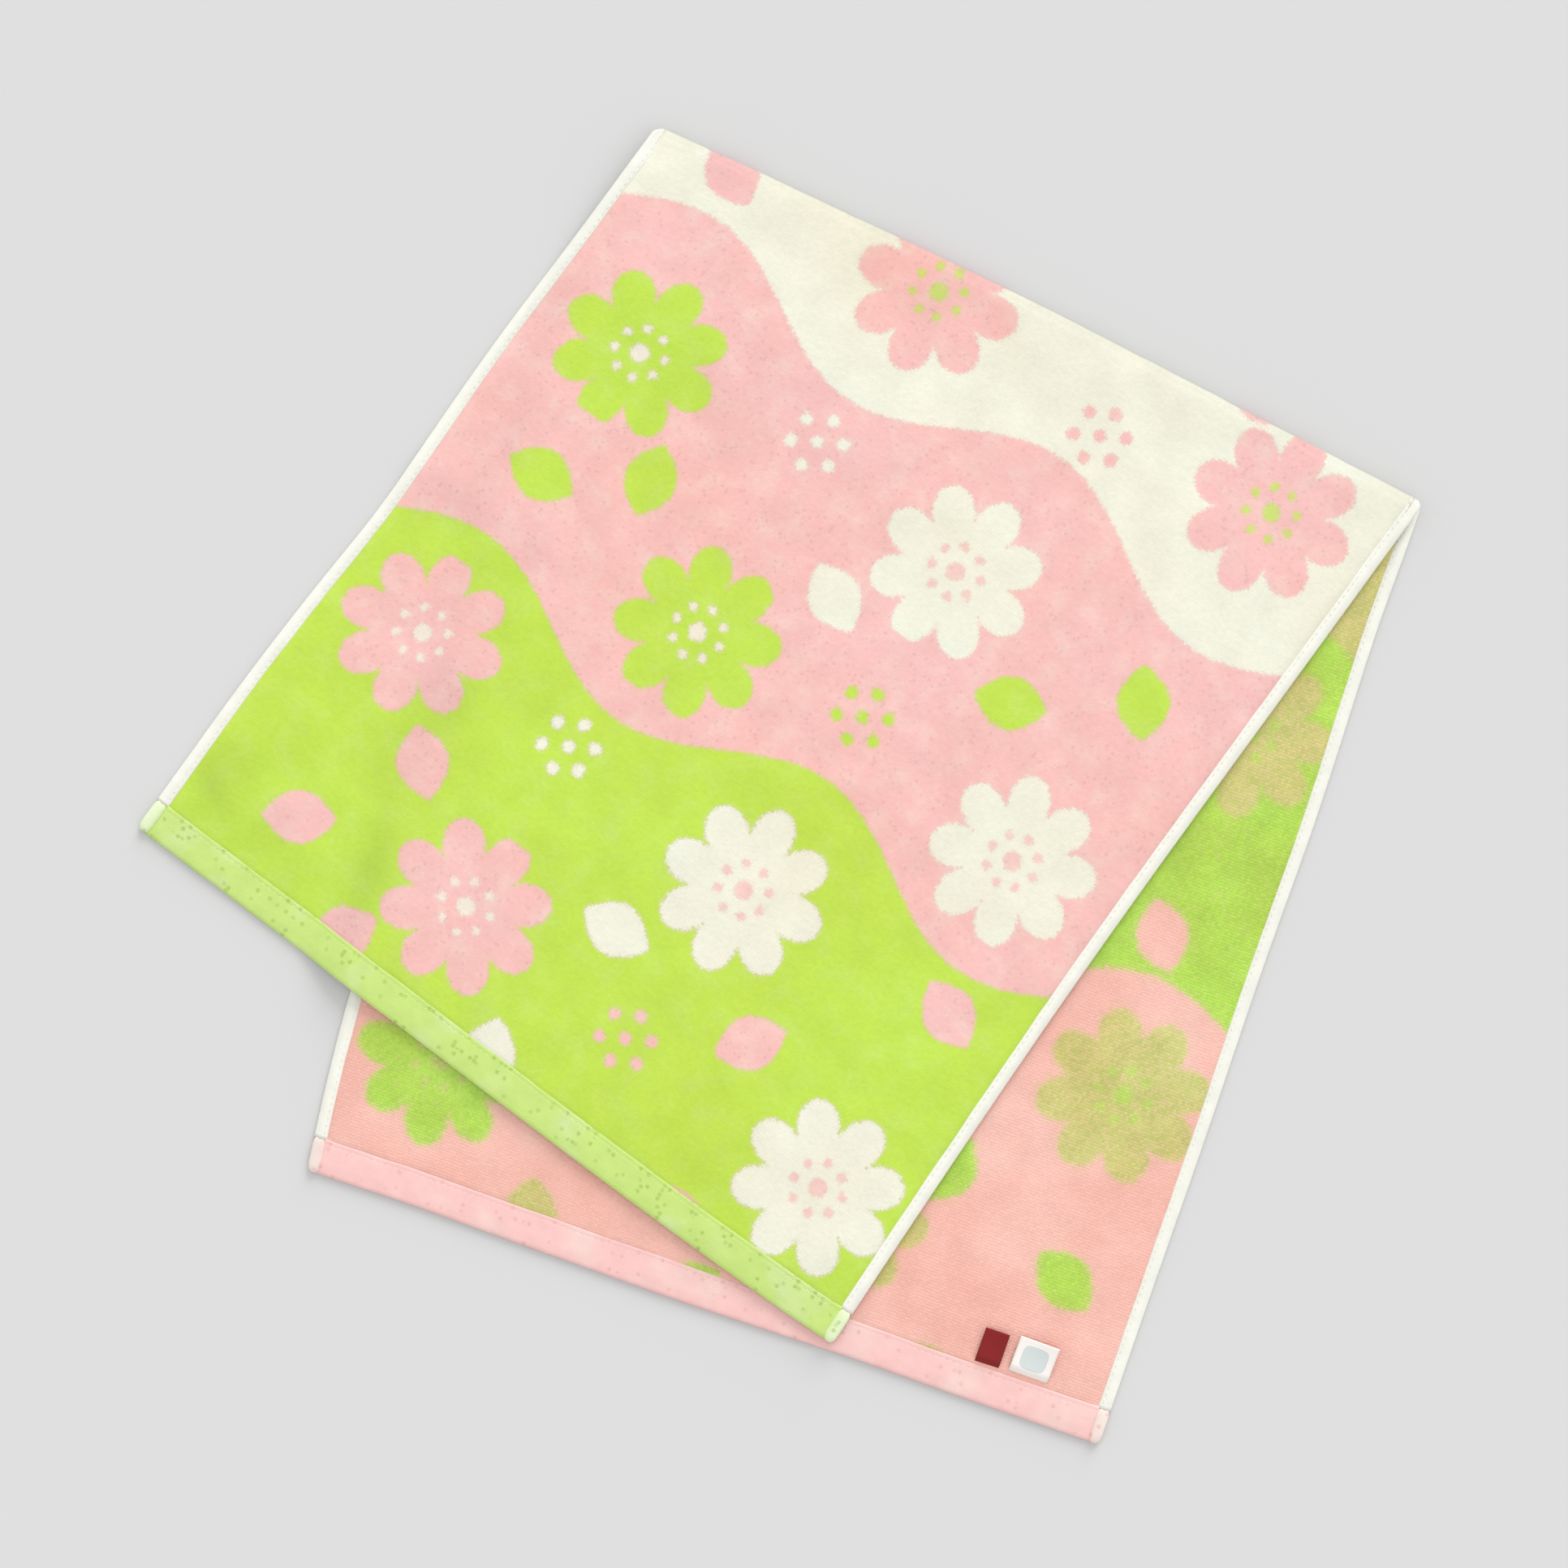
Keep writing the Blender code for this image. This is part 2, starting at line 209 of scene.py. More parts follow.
# Labels: lower left corner, width and height on the lower layer, turn in degrees
Label = namedtuple("Label", "name x y width height degrees rise")
LABELS = (
    Label("label_narrow", 0.2748, 0.0158, 0.0099, 0.0143, 0.8, 0.0016),
    Label("label_square", 0.2886, 0.0168, 0.0162, 0.0147, -0.6, 0.0019),
)
TAPE_THICK = 0.00022
TAPE_GAP = 0.00016
LABEL_COLUMNS = 14
LABEL_ROWS = 20
LABEL_TURN_ROWS = 7
LABEL_FIELD_REACH = 0.33
LABEL_FIELD_POWER = 4.0

# A label's way out of the seam: where it is caught, its height there and on the pile, and where it comes up
LABEL_CAUGHT_AT = 0.0136
LABEL_LOW = 0.00085
LABEL_ON_PILE = 0.00300
LABEL_COMES_UP = (-0.0012, 0.0026)

# A label's lift at its left side, as a share of that at its right, and the waves in it
LABEL_LIFTS_LESS = 0.7
LABEL_SWAY = 0.00012
LABEL_SWAY_ACROSS = 5.0
LABEL_SWAY_UP = 3.0

# Woven pattern: flowers in rows, each row half a repeat on, with leaves and rings of dots between them. The
# leaves half way between two rows keep to a share of the width on either side of its middle.
REPEAT = WIDTH / 2.0
ROW_FIRST = 0.0510
ROW_STEP = 0.0780
WAVE = 0.0150
FLOWER_SIZE = 0.0345
FLOWER_PETALS = 8
PETAL_NOTCH = 0.56
PETAL_POWER = 0.55
HEART = 0.8
HEART_RING = 0.30
HEART_DOT = 0.055
HEART_DISC = 0.11
LEAF_LENGTH = 0.0152
LEAF_WIDTH = 0.0106
HALF_LEAVES_REACH = 0.4
RING_SIZE = 0.0106
RING_DOT = 0.0026
RING_DOTS = 6

# How far a motif moves off its grid point, and what a column and a row add to each wave and to its turn
SHIFT = 0.0080
SHIFT_X_WAVE = (3.1, 2.4)
SHIFT_Y_WAVE = (5.3, 1.1)
TURN_STEPS = (2.3, 1.3)

# Borders of the colour fields, each half way between a row of flowers and the next
BORDER_ROWS = {"lower_green": 1.0, "lower_white": 3.0, "upper_white": 5.0, "upper_green": 7.0}

# Pile loops: their spacing, how far their tops and yarns stray from the grid, and how quickly a top falls
LOOP = 0.0012
LOOP_TOP_STRAYS = 0.45
LOOP_YARN_STRAYS = 0.9
LOOP_FALLS = 2.4

# Noises: waves in a metre, their detail, and how much each changes what it is used for
Noise = namedtuple("Noise", "fineness detail amount", defaults=(1.0,))
FUZZ = Noise(2200.0, 1.0, 0.0062)
BACK_FUZZ_TIMES = 2.0
DRIFT = Noise(15.0, 2.0)
FRONT_LEAN = Noise(55.0, 2.0, 0.14)
FRONT_PALE = Noise(95.0, 3.0, 0.70)
FRONT_FINE = Noise(420.0, 2.0, 0.08)
BACK_LEAN = Noise(70.0, 3.0, 0.28)
BACK_FINE = Noise(700.0, 1.0, 0.08)
HEM_UNEVEN = Noise(140.0, 3.0, 0.14)
HEM_PATCHES = Noise(45.0, 2.0, 0.90)
SPECK_CLUSTERS = Noise(60.0, 1.0)
THREAD_TWIST = Noise(1500.0, 1.0, 0.20)

# Both pile faces: the share of the pattern that follows whole loops
SHARP_SHARE = 0.4

# Front: where it fades, how much less the green does, the shade of loops, the painted shade in the grooves
# along motif edges, and dark specks
FADES_FROM = 0.46
GREEN_FADES_LESS = 0.7
FRONT_LOOP_SHADE = 0.02
EDGE_GROOVE_PAINTED_SHADE = 0.06
DARK_SPECKS_FROM = 0.955
DARK_SPECK_SHADE = 0.08
GREEN_HIDES_SPECKS = 0.8

# Back: how pure its pink is, stray pink loops in the green, the mingled yarns under the cream, and shades
BACK_PINK = 0.97
STRAY_FROM = 0.90
STRAY_PINK = 0.10
MINGLED_FROM = 0.05
MINGLED_SPAN = 0.90
MINGLED_TAN = 0.80
BACK_LIGHT = 0.99
BACK_LOOP_SHADE = 0.12
BACK_TOP_LIGHT = 0.04
GREEN_SMOOTHS = 0.5

# Drift of each dye over the cloth, wide, and on the back finer too
FRONT_DRIFT = {"Red": 0.03, "Green": 0.12, "Blue": 0.22}
BACK_DRIFT = {"Red": 0.12, "Green": 0.34, "Blue": 0.42}
BACK_FINE_DRIFT = {"Red": 0.05, "Green": 0.13, "Blue": 0.16}
FINE_DRIFT_TIMES = 3.7

# Hems: light, weave, the strength of specks, their spacing and softness, and more of them away from the edge
HEM_LIGHT = 0.985
HEM_WEAVE = 0.00045
HEM_WEAVE_LIGHT = 0.03
SPECK_STRENGTH = 0.48
SPECK_SPACING = 0.0020
SPECK_RISE = 1.4
SPECK_SUNK = 0.1
SPECKS_AT_EDGE = 0.4
SPECKS_INWARD = 1.1
SPECK_SHARES = {"flat_hem_green": 0.26, "flat_hem_pink": 0.12, "corner_green": 0.28, "corner_pink": 0.20}
CORNER_INNER_FROM = 0.55
CORNER_INNER_SHARE = 0.5

# Thread and tape
THREAD_LIGHT = 0.90
TAPE_WEAVE = 0.028
TAPE_LIGHT = 0.94
TAPE_WEAVE_LIGHT = 0.08

# Height of the bump on each surface, and the shares of what makes it up
PILE_BUMP = 0.00012
FRONT_BUMP_LOOP, FRONT_BUMP_FINE, FRONT_BUMP_LEAN = 0.25, 0.9, 1.1
BACK_BUMP_FINE = 0.4
HEM_BUMP = 0.00012
HEM_BUMP_WEAVE, HEM_BUMP_UNEVEN = 0.5, 1.5
THREAD_BUMP = 0.00010
TAPE_BUMP = 0.00006

# Roughness and specular level of each finish
Gloss = namedtuple("Gloss", "roughness specular")
PILE_GLOSS = Gloss(0.95, 0.15)
HEM_GLOSS = Gloss(0.90, 0.15)
THREAD_GLOSS = Gloss(0.60, 0.30)
TAPE_GLOSS = Gloss(0.60, 0.12)
FLOOR_GLOSS = Gloss(1.0, 0.0)
PILE_SHEEN = 0.05

# Colours, linear
PINK = (0.709, 0.406, 0.381)
GREEN = (0.423, 0.594, 0.069)
CREAM = (0.671, 0.661, 0.546)
LOOP_PINK = (0.729, 0.397, 0.350)
LOOP_GREEN = (0.364, 0.553, 0.082)
LOOP_TAN = (0.475, 0.445, 0.154)
HEM_WHITE = (0.712, 0.708, 0.642)
HEM_GREEN = (0.467, 0.618, 0.176)
HEM_PINK = (0.747, 0.463, 0.441)
HEM_GREEN_SPECK = (0.240, 0.370, 0.060)
HEM_PINK_SPECK = (0.620, 0.330, 0.300)
CORNER_GREEN = (0.620, 0.708, 0.455)
CORNER_PINK = (0.695, 0.580, 0.530)
LABEL_RED = (0.215, 0.016, 0.018)
LABEL_WHITE = (0.800, 0.750, 0.715)
LABEL_FIELD = (0.550, 0.605, 0.590)
FLOOR_GREY = (0.550, 0.550, 0.550)
SKY_WHITE = (1.0, 1.0, 1.0)

# Camera straight above, and the light
LENS = 85.0
SENSOR = 36.0
CAMERA_PLACE = (0.01599, -0.01117, 1.469)
CAMERA_ROLL = 19.18
SKY_STRENGTH = 1.055
SUN_STRENGTH = 2.52
SUN_SOFTNESS = 36.0
SUN_ELEVATION = 22.0
SUN_FROM = 88.0
FLOOR_SIZE = 40.0

PLACE = "cloth_place"
# The point attribute that holds each point's painted shade
PAINTED_SHADE_NAME = "pile_lean"

# Painted shade round the bend of the fold, which takes off the sun's highlight there, and how quickly it grows
# away from the flat
BEND_PAINTED_SHADE = 0.26
BEND_PAINTED_SHADE_POWER = 0.6


def ease(value, start, end):
    """0 before start, 1 after end, and a smooth cubic between them. Start may be the larger one."""
    share = np.clip((value - start) / (end - start), 0.0, 1.0)
    return share * share * (3.0 - 2.0 * share)


def between(start, end, share):
    """What lies at a share of the way from start to end."""
    return (1.0 - share) * start + share * end


def bow(edge, share):
    """Outward shift along an edge: the sum of its bell-shaped bows, faded to nothing at both corners."""
    total = np.zeros_like(share)
    for row in BOWS:
        if row.edge == edge:
            total += row.out * np.exp(-(((share - row.at) / row.spread) ** 2))
    return total * (1.0 - (2.0 * share - 1.0) ** BOW_FADE_POWER)


def edge_line(edge, start, end, outward_turn, share):
    """Points of a bowed edge from start to end. The outward side is a quarter turn from its direction."""
    run = end - start
    unit = run / np.hypot(*run)
    outward = outward_turn * np.array([-unit[1], unit[0]])
    return start + share[..., None] * run + bow(edge, share)[..., None] * outward


class Fold:
    """The line of the fold: its direction, its outward normal, and where the layers meet the bend."""

    def __init__(self):
        left, right = CORNERS["fold_left"], CORNERS["fold_right"]
        self.along = (right - left) / np.hypot(*(right - left))
        self.outward = np.array([-self.along[1], self.along[0]])
        self.drift = FOLD_ACROSS_SKEW * BEND_LENGTH
        self.upper_left = self.step_in(left, CORNERS["upper_hem_left"])
        self.lower_right = self.step_in(right, CORNERS["lower_hem_right"])
        self.lower_left = self.upper_left + self.drift * self.along
        self.upper_right = self.lower_right - self.drift * self.along

    def step_in(self, corner, hem_corner):
        """The point on a side edge that lies one bend radius inside the fold's outline."""
        run = hem_corner - corner
        return corner - run * FOLD_OUTER_RADIUS / (run @ self.outward)


FOLD = Fold()


def layer_plan(layer, fold_left, fold_right, across, share):
    """A layer's plan: its two side edges and two end edges blended, less the four corners (Coons patch).

    Across and share are shares of the width and of the way from the end hem to the bend.
    """
    hem_left, hem_right = CORNERS[layer + "_hem_left"], CORNERS[layer + "_hem_right"]
    left = edge_line(layer + "_left", hem_left, fold_left, 1.0, share)
    right = edge_line(layer + "_right", hem_right, fold_right, -1.0, share)
    hem = edge_line(layer + "_hem", hem_left, hem_right, -1.0, across)
    fold = edge_line("fold", fold_left, fold_right, 1.0, across)
    a, t = across[..., None], share[..., None]
    corners = between(between(hem_left, hem_right, a), between(fold_left, fold_right, a), t)
    return between(left, right, a) + between(hem, fold, t) - corners


def left_of_lower(plan):
    """Distance of a plan position outside the lower layer's left edge, measured along X."""
    start = CORNERS["lower_hem_left"]
    share = np.clip((plan[..., 1] - start[1]) / (FOLD.lower_left[1] - start[1]), 0.0, 1.0)
    return edge_line("lower_left", start, FOLD.lower_left, 1.0, share)[..., 0] - plan[..., 0]


def soft_spots(rows, plan):
    """Sum of a table's spots: long bell shapes in plan, each turned to its own direction."""
    total = np.zeros(plan.shape[:-1])
    for row in rows:
        turn = np.radians(row.degrees)
        dx = plan[..., 0] - row.x
        dy = plan[..., 1] - row.y
        forward = dx * np.cos(turn) + dy * np.sin(turn)
        sideways = dy * np.cos(turn) - dx * np.sin(turn)
        total += row.amount * np.exp(-((forward / row.half_length) ** 2) - (sideways / row.half_width) ** 2)
    return total


def upper_underside(plan):
    """Height of the upper layer's underside: over the lower layer, over its edge, and down to the surface."""
    outside = left_of_lower(plan)
    lift = EDGE_LIFT * np.exp(-((np.minimum(outside, 0.0) / EDGE_LIFT_REACH) ** 2))
    sag = HEM_SAG * ease(plan[..., 1], HEM_SAG_FROM, HEM_SAG_TO)
    held_up = PILE_THICK + LAYER_GAP + lift - sag
    return held_up * (1.0 - ease(outside, DRAPE_START, DRAPE_REACH)) + soft_spots(RIDGES, plan)


def bend_starts(across):
    """Distance along the towel at which the lower layer meets the bend."""
    return between(FOLD_ALONG_LEFT, FOLD_ALONG_RIGHT, across / WIDTH)


def place(across, along, thick, depth):
    """Where a point of the cloth lies, from its towel coordinates, the cloth's thickness there and its depth.

    Lower layer: height is the depth. Bend: half a turn about a line one outer radius up, at the outer radius
    less the depth. Upper layer: the top of the cloth less the depth, and level with the bend near the fold.
    """
    across, along, thick, depth = np.broadcast_arrays(across, along, thick, depth)
    share = across / WIDTH
    starts = bend_starts(across)
    upper_length = LENGTH - starts - BEND_LENGTH
    upper_in = np.clip(LENGTH - along, None, upper_length)

    lower = layer_plan("lower", FOLD.lower_left, FOLD.lower_right, share, np.clip(along / starts, None, 1.0))
    upper = layer_plan("upper", FOLD.upper_left, FOLD.upper_right, share, upper_in / upper_length)

    angle = np.clip((along - starts) / BEND_LENGTH, 0.0, 1.0) * np.pi
    radius = FOLD_OUTER_RADIUS - depth
    bend = edge_line("fold", FOLD.lower_left, FOLD.lower_right, 1.0, share)
    bend = bend - (FOLD.drift * angle / np.pi)[..., None] * FOLD.along
    bend = bend + (radius * np.sin(angle))[..., None] * FOLD.outward

    near_fold = 1.0 - ease(upper_length - upper_in, 0.0, FOLD_FLATTENS_IN)
    top = between(upper_underside(upper) + thick, 2.0 * FOLD_OUTER_RADIUS, near_fold)

    on_lower = along <= starts
    on_upper = along >= starts + BEND_LENGTH
    plan = np.where(on_lower[..., None], lower, np.where(on_upper[..., None], upper, bend))
    round_bend = FOLD_OUTER_RADIUS - radius * np.cos(angle)
    height = np.where(on_lower, depth, np.where(on_upper, top - depth, round_bend))
    return np.concatenate([plan, height[..., None]], axis=-1) - MIDDLE


def profile(steps, inward):
    """A thickness read from a table of steps, straight between its numbers."""
    return np.interp(inward, *steps)


def soft_noise(draw, rows, columns, cell):
    """Smooth random heights from -1 to 1: a lattice of random values, eased between its points."""
    high = int(np.ceil(rows.max() / cell)) + 2
    wide = int(np.ceil(columns.max() / cell)) + 2
    lattice = draw.uniform(-1.0, 1.0, (high, wide))
    down, over = rows / cell, columns / cell
    row, column = down.astype(int), over.astype(int)
    v = ease(over - column, 0.0, 1.0)
    near = between(lattice[row, column], lattice[row, column + 1], v)
    far = between(lattice[row + 1, column], lattice[row + 1, column + 1], v)
    return between(near, far, ease(down - row, 0.0, 1.0))


def lengthwise_rings(across, free, lower_count, upper_count):
    """Distances along the towel, one row a ring: over the lower layer, round the bend and over the upper one.

    Free is the distance left at each end of the towel.
    """
    starts = bend_starts(across)
    ends = starts + BEND_LENGTH
    lower = free + np.linspace(0.0, 1.0, lower_count + 1)[:-1, None] * (starts - free)
    bend = starts + np.linspace(0.0, 1.0, BEND_RINGS + 1)[:-1, None] * BEND_LENGTH
    upper = ends + np.linspace(0.0, 1.0, upper_count + 1)[:, None] * (LENGTH - free - ends)
    return np.concatenate([lower, bend, upper])


def grid_faces(rows, columns):
    """Quads of a grid of points, rows by columns."""
    corner = np.arange((rows - 1) * columns).reshape(rows - 1, columns)[:, :-1].reshape(-1)
    return np.stack([corner, corner + columns, corner + columns + 1, corner + 1], axis=1)


def tube_quads(rings, sides):
    """Quads round a tube: rings of points, each with the same number of sides."""
    ring = np.arange(rings - 1)[:, None] * sides
    side = np.arange(sides)
    following = (side + 1) % sides
    quads = [ring + side, ring + sides + side, ring + sides + following, ring + following]
    return np.stack(quads, axis=-1).reshape(-1, 4)


def signed_volume(points, faces):
    """Six times the volume inside the faces, negative if they face inwards. Each is a fan of triangles."""
    first = points[faces[:, 0]]
    fans = [np.cross(points[faces[:, i]], points[faces[:, i + 1]]) for i in range(1, faces.shape[1] - 1)]
    return sum(np.einsum("ij,ij->", first, fan) for fan in fans)


def add_object(name, data):
    """A new object in the scene, at the origin."""
    made = bpy.data.objects.new(name, data)
    bpy.context.scene.collection.objects.link(made)
    return made


def add_piece(name, points, faces, materials, where, material_of_face=None):
    """A smooth mesh piece that rides on the root body, with its places on the cloth as a UV map in metres."""
    if sum(signed_volume(points, block) for block in faces) < 0.0:
        faces = [block[:, ::-1] for block in faces]
    mesh = bpy.data.meshes.new(name)
    mesh.from_pydata(points.tolist(), [], [face for block in faces for face in block.tolist()])
    for finish in materials:
        mesh.materials.append(finish)
    if material_of_face is not None:
        mesh.polygons.foreach_set("material_index", material_of_face.astype(np.int32))
    corners = np.zeros(len(mesh.loops), np.int32)
    mesh.loops.foreach_get("vertex_index", corners)
    layer = mesh.uv_layers.new(name=PLACE)
    layer.data.foreach_set("uv", where[corners].astype(np.float32).reshape(-1))
    mesh.shade_smooth()
    mesh.update()
    made = add_object(name, mesh)
    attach(made, "root")
    return made


def add_tube(name, points, where, materials, front=None):
    """A closed tube piece from rings of points, its ends closed by triangles to the end rings' middles.

    Front says for each side whether it takes the first material, and the other sides take the second.
    """
    rings, sides = points.shape[:2]
    near = np.arange(sides)
    far = (near + 1) % sides
    middle = np.full(sides, rings * sides)
    last = (rings - 1) * sides
    caps = [np.stack([middle, near, far], axis=1), np.stack([middle + 1, last + far, last + near], axis=1)]
    points, where = (
        np.concatenate([rows.reshape(-1, rows.shape[-1]), rows[[0, -1]].mean(axis=1)])
        for rows in (points, where)
    )
    kinds = None if front is None else np.tile(np.where(front, 0, 1), rings + 1)
    return add_piece(name, points, [tube_quads(rings, sides), *caps], materials, where, kinds)


def add_hem(name, across, along, thick, depth, materials, front=None):
    """A closed hem piece from rings of towel coordinates, with the cloth's thickness and the depth there."""
    across, along = np.broadcast_arrays(across, along)
    where = np.stack([across, along], axis=-1)
    return add_tube(name, place(across, along, thick, depth), where, materials, front)


def bend_turn(across, along):
    """0 on both layers and 1 at the middle of the bend: the sine of how far the cloth has turned."""
    return np.maximum(np.sin(np.clip((along - bend_starts(across)) / BEND_LENGTH, 0.0, 1.0) * np.pi), 0.0)


def bend_painted_shade(across, along):
    """Painted shade round the bend: the share of light taken off the colour."""
    return BEND_PAINTED_SHADE * bend_turn(across, along) ** BEND_PAINTED_SHADE_POWER


def set_painted_shade(piece, mottle_and_painted_shade):
    """Gives each point of a piece its painted shade, the share of light taken off its colour."""
    layer = piece.data.attributes.new(PAINTED_SHADE_NAME, "FLOAT", "POINT")
    layer.data.foreach_set("value", mottle_and_painted_shade.reshape(-1).astype(np.float32))


def body_piece(materials):
    """The whole pile cloth as one closed shell: its front and back faces over both layers and the bend."""
    draw = np.random.default_rng(SEEDS["pile_cloth"])
    across = np.linspace(BODY_UNDER_SIDE, WIDTH - BODY_UNDER_SIDE, BODY_COLUMNS + 1)
    along = lengthwise_rings(across, BODY_NEXT_RING, BODY_LOWER_RINGS, BODY_UPPER_RINGS)
    edge = np.full((1, len(across)), BODY_UNDER_END)
    along = np.concatenate([edge, along, LENGTH - edge])
    across = np.broadcast_to(across, along.shape)
    along_in = np.minimum(along, LENGTH - along)

    side_rise = ease(np.minimum(across, WIDTH - across), *SIDE_RISE)
    rise = side_rise * ease(along_in, *END_RISE)
    own = profile(BODY_END_STEPS, along_in) - (PILE_THICK - SIDE_EDGE_THICK) * (1.0 - side_rise)
    own = np.maximum(own, SIDE_EDGE_THICK)
    front_rough, back_rough = np.zeros(along.shape), np.zeros(along.shape)
    for row in RELIEFS:
        front_rough += row.front * soft_noise(draw, along, across, row.cell)
        back_rough += row.back * soft_noise(draw, along, across, row.cell)
    surfaces = np.stack([
        place(across, along, own, -rise * front_rough),
        place(across, along, own, own + rise * back_rough),
    ])
    surfaces[..., 2] = np.maximum(surfaces[..., 2], 0.0)

    rows, columns = along.shape
    count = rows * columns
    number = np.arange(count).reshape(rows, columns)
    front = grid_faces(rows, columns)
    rim = np.concatenate([number[0], number[1:, -1], number[-1, -2::-1], number[-2:0:-1, 0]])
    next_rim = np.roll(rim, -1)
    edge = np.stack([rim, next_rim, next_rim + count, rim + count], axis=1)
    faces = np.concatenate([front, front[:, ::-1] + count, edge])
    kinds = np.repeat([0, 1, 0], [len(front), len(front), len(edge)])
    where = np.tile(np.stack([across, along], axis=-1).reshape(-1, 2), (2, 1))
    made = add_piece("pile_cloth", surfaces.reshape(-1, 3), [faces], materials, where, kinds)

    # Painted shade on the front: the spots on the upper layer and the band round the bend, none on the back
    on_upper = along > bend_starts(across) + BEND_LENGTH
    mottle_and_painted_shade = np.where(on_upper, soft_spots(PAINTED_SHADE_SPOTS, (surfaces[0] + MIDDLE)[..., :2]), 0.0)
    mottle_and_painted_shade = mottle_and_painted_shade + bend_painted_shade(across, along)
    set_painted_shade(made, np.stack([mottle_and_painted_shade, 0.0 * mottle_and_painted_shade]))
    return made


Section = namedtuple("Section", "inward front reach thick depth")


def hem_section(name, steps, cad_steps, places, waver):
    """A hem's closed section at each place along it, uneven by soft noise: its reach, thickness and depth.

    It runs over the front from the inner side to the edge, and back over the back.
    """
    draw = np.random.default_rng(SEEDS[name])
    inward = np.array(steps.inward)
    inward = np.concatenate([inward[::-1], inward[1:]])
    front = np.arange(len(inward)) < len(steps.inward)
    short, long = (soft_noise(draw, places, 0.0 * places, cell) for cell in (waver.short, waver.long))
    uneven = short * waver.share + long
    own = profile(steps, inward) * (1.0 + waver.thick * uneven)
    thick = np.maximum(profile(cad_steps, inward), own)
    depth = thick / 2.0 + np.where(front, -own, own) / 2.0
    return Section(inward, front, inward * (1.0 + waver.reach * uneven), thick, depth)


def side_hem(name, left, finish):
    """A rolled side hem: its closed section carried along the towel's side, and narrower round the bend."""
    edge = np.zeros(1) if left else np.full(1, WIDTH)
    count = int(FOLD_ALONG_LEFT / HEM_PITCH)
    along = lengthwise_rings(edge, SIDE_HEM_STARTS, count, count - HEM_UPPER_RINGS_LESS)
    section = hem_section(name, ROLLED_PROFILE, SIDE_STEPS, along, SIDE_WAVER)
    pinched = PINCH * bend_turn(edge, along) ** 2
    reach = section.reach + pinched * (1.0 - section.inward / ROLLED_PROFILE.inward[-1])
    across = reach if left else WIDTH - reach
    made = add_hem(name, across, along, section.thick, section.depth, [finish])
    # Painted shade round the bend
    set_painted_shade(made, np.append(bend_painted_shade(across, along), np.zeros(2)))
    return made


def end_hem(name, lower, materials):
    """A flat end hem: its closed section carried over the towel's width between the corner blocks."""
    count = int((WIDTH - 2.0 * BODY_UNDER_SIDE) / HEM_PITCH)
    across = np.linspace(BODY_UNDER_SIDE, WIDTH - BODY_UNDER_SIDE, count + 1)[:, None]
    section = hem_section(name, FLAT_PROFILE, END_STEPS, across, END_WAVER)
    along = section.reach if lower else LENGTH - section.reach
    if lower:
        front = section.front & (section.inward > WRAP)
    else:
        front = section.front | (section.inward < WRAP)
    return add_hem(name, across, along, section.thick, section.depth, materials, front)


def signed_power(value, power):
    """A power of the value's size, with the value's sign."""
    return np.sign(value) * np.abs(value) ** power


def corner_block(name, left, lower, materials):
    """The end hem folded over the side hem: a rounded block, its outline and section both superellipses."""
    turn = np.linspace(0.0, 2.0 * np.pi, CORNER_SIDES, endpoint=False)[None, :]
    share = np.sin(np.linspace(-1.0, 1.0, CORNER_RINGS)[:, None] * np.pi / 2.0)
    outer, inner = CORNER_END_POWERS
    taper = (1.0 - np.abs(share * CORNER_ENDS_AT) ** outer) ** (1.0 / inner)
    inward = CORNER_HALF_IN * (1.0 + taper * signed_power(np.cos(turn), CORNER_FLANK_POWER))
    along_in = CORNER_HALF_ALONG * (1.0 + share)
    depth = CORNER_HALF_THICK * (1.0 - taper * signed_power(np.sin(turn), CORNER_FACE_POWER))
    across = inward if left else WIDTH - inward
    along = along_in if lower else LENGTH - along_in
    front = np.sin(turn[0]) > (CORNER_SHOWS if lower else -CORNER_SHOWS)
    return add_hem(name, across, along, 2.0 * CORNER_HALF_THICK, depth, materials, front)


def stitches(name, across, along, direction, thick, depth, side, finish):
    """A row of stitches as one mesh: each a thin spindle on the cloth, its two ends dipping into it.

    Direction is the stitch's direction in towel coordinates, and side is -1 on the front and 1 on the back.
    """
    step = np.linspace(-1.0, 1.0, STITCH_RINGS)[None, :, None]
    turn = np.linspace(0.0, 2.0 * np.pi, STITCH_SIDES, endpoint=False)[None, None, :]
    radius = THREAD_RADIUS * np.sqrt(1.0 - step ** 4 * STITCH_THINS)
    forward = step * STITCH_LENGTH / 2.0
    sideways = radius * np.cos(turn)
    out = radius * np.sin(turn) - STITCH_DIP * step ** 4 + STITCH_PROUD
    at_across = across[:, None, None] + forward * direction[0] - sideways * direction[1]
    at_along = along[:, None, None] + forward * direction[1] + sideways * direction[0]
    points = place(at_across, at_along, thick, depth + side * out)
    points[..., 2] = np.maximum(points[..., 2], 0.0)
    where = np.stack([at_across, at_along], axis=-1).reshape(-1, 2)
    size = STITCH_RINGS * STITCH_SIDES
    cap = np.array([[0, 1, 2, 3], [0, 3, 4, 5]])
    one = np.concatenate([tube_quads(STITCH_RINGS, STITCH_SIDES), cap, cap[:, ::-1] + size - STITCH_SIDES])
    faces = (np.arange(len(across))[:, None, None] * size + one).reshape(-1, 4)
    made = add_piece(name, points.reshape(-1, 3), [faces], [finish], where)
    # Painted shade round the bend
    set_painted_shade(made, bend_painted_shade(where[:, 0], where[:, 1]))
    return made


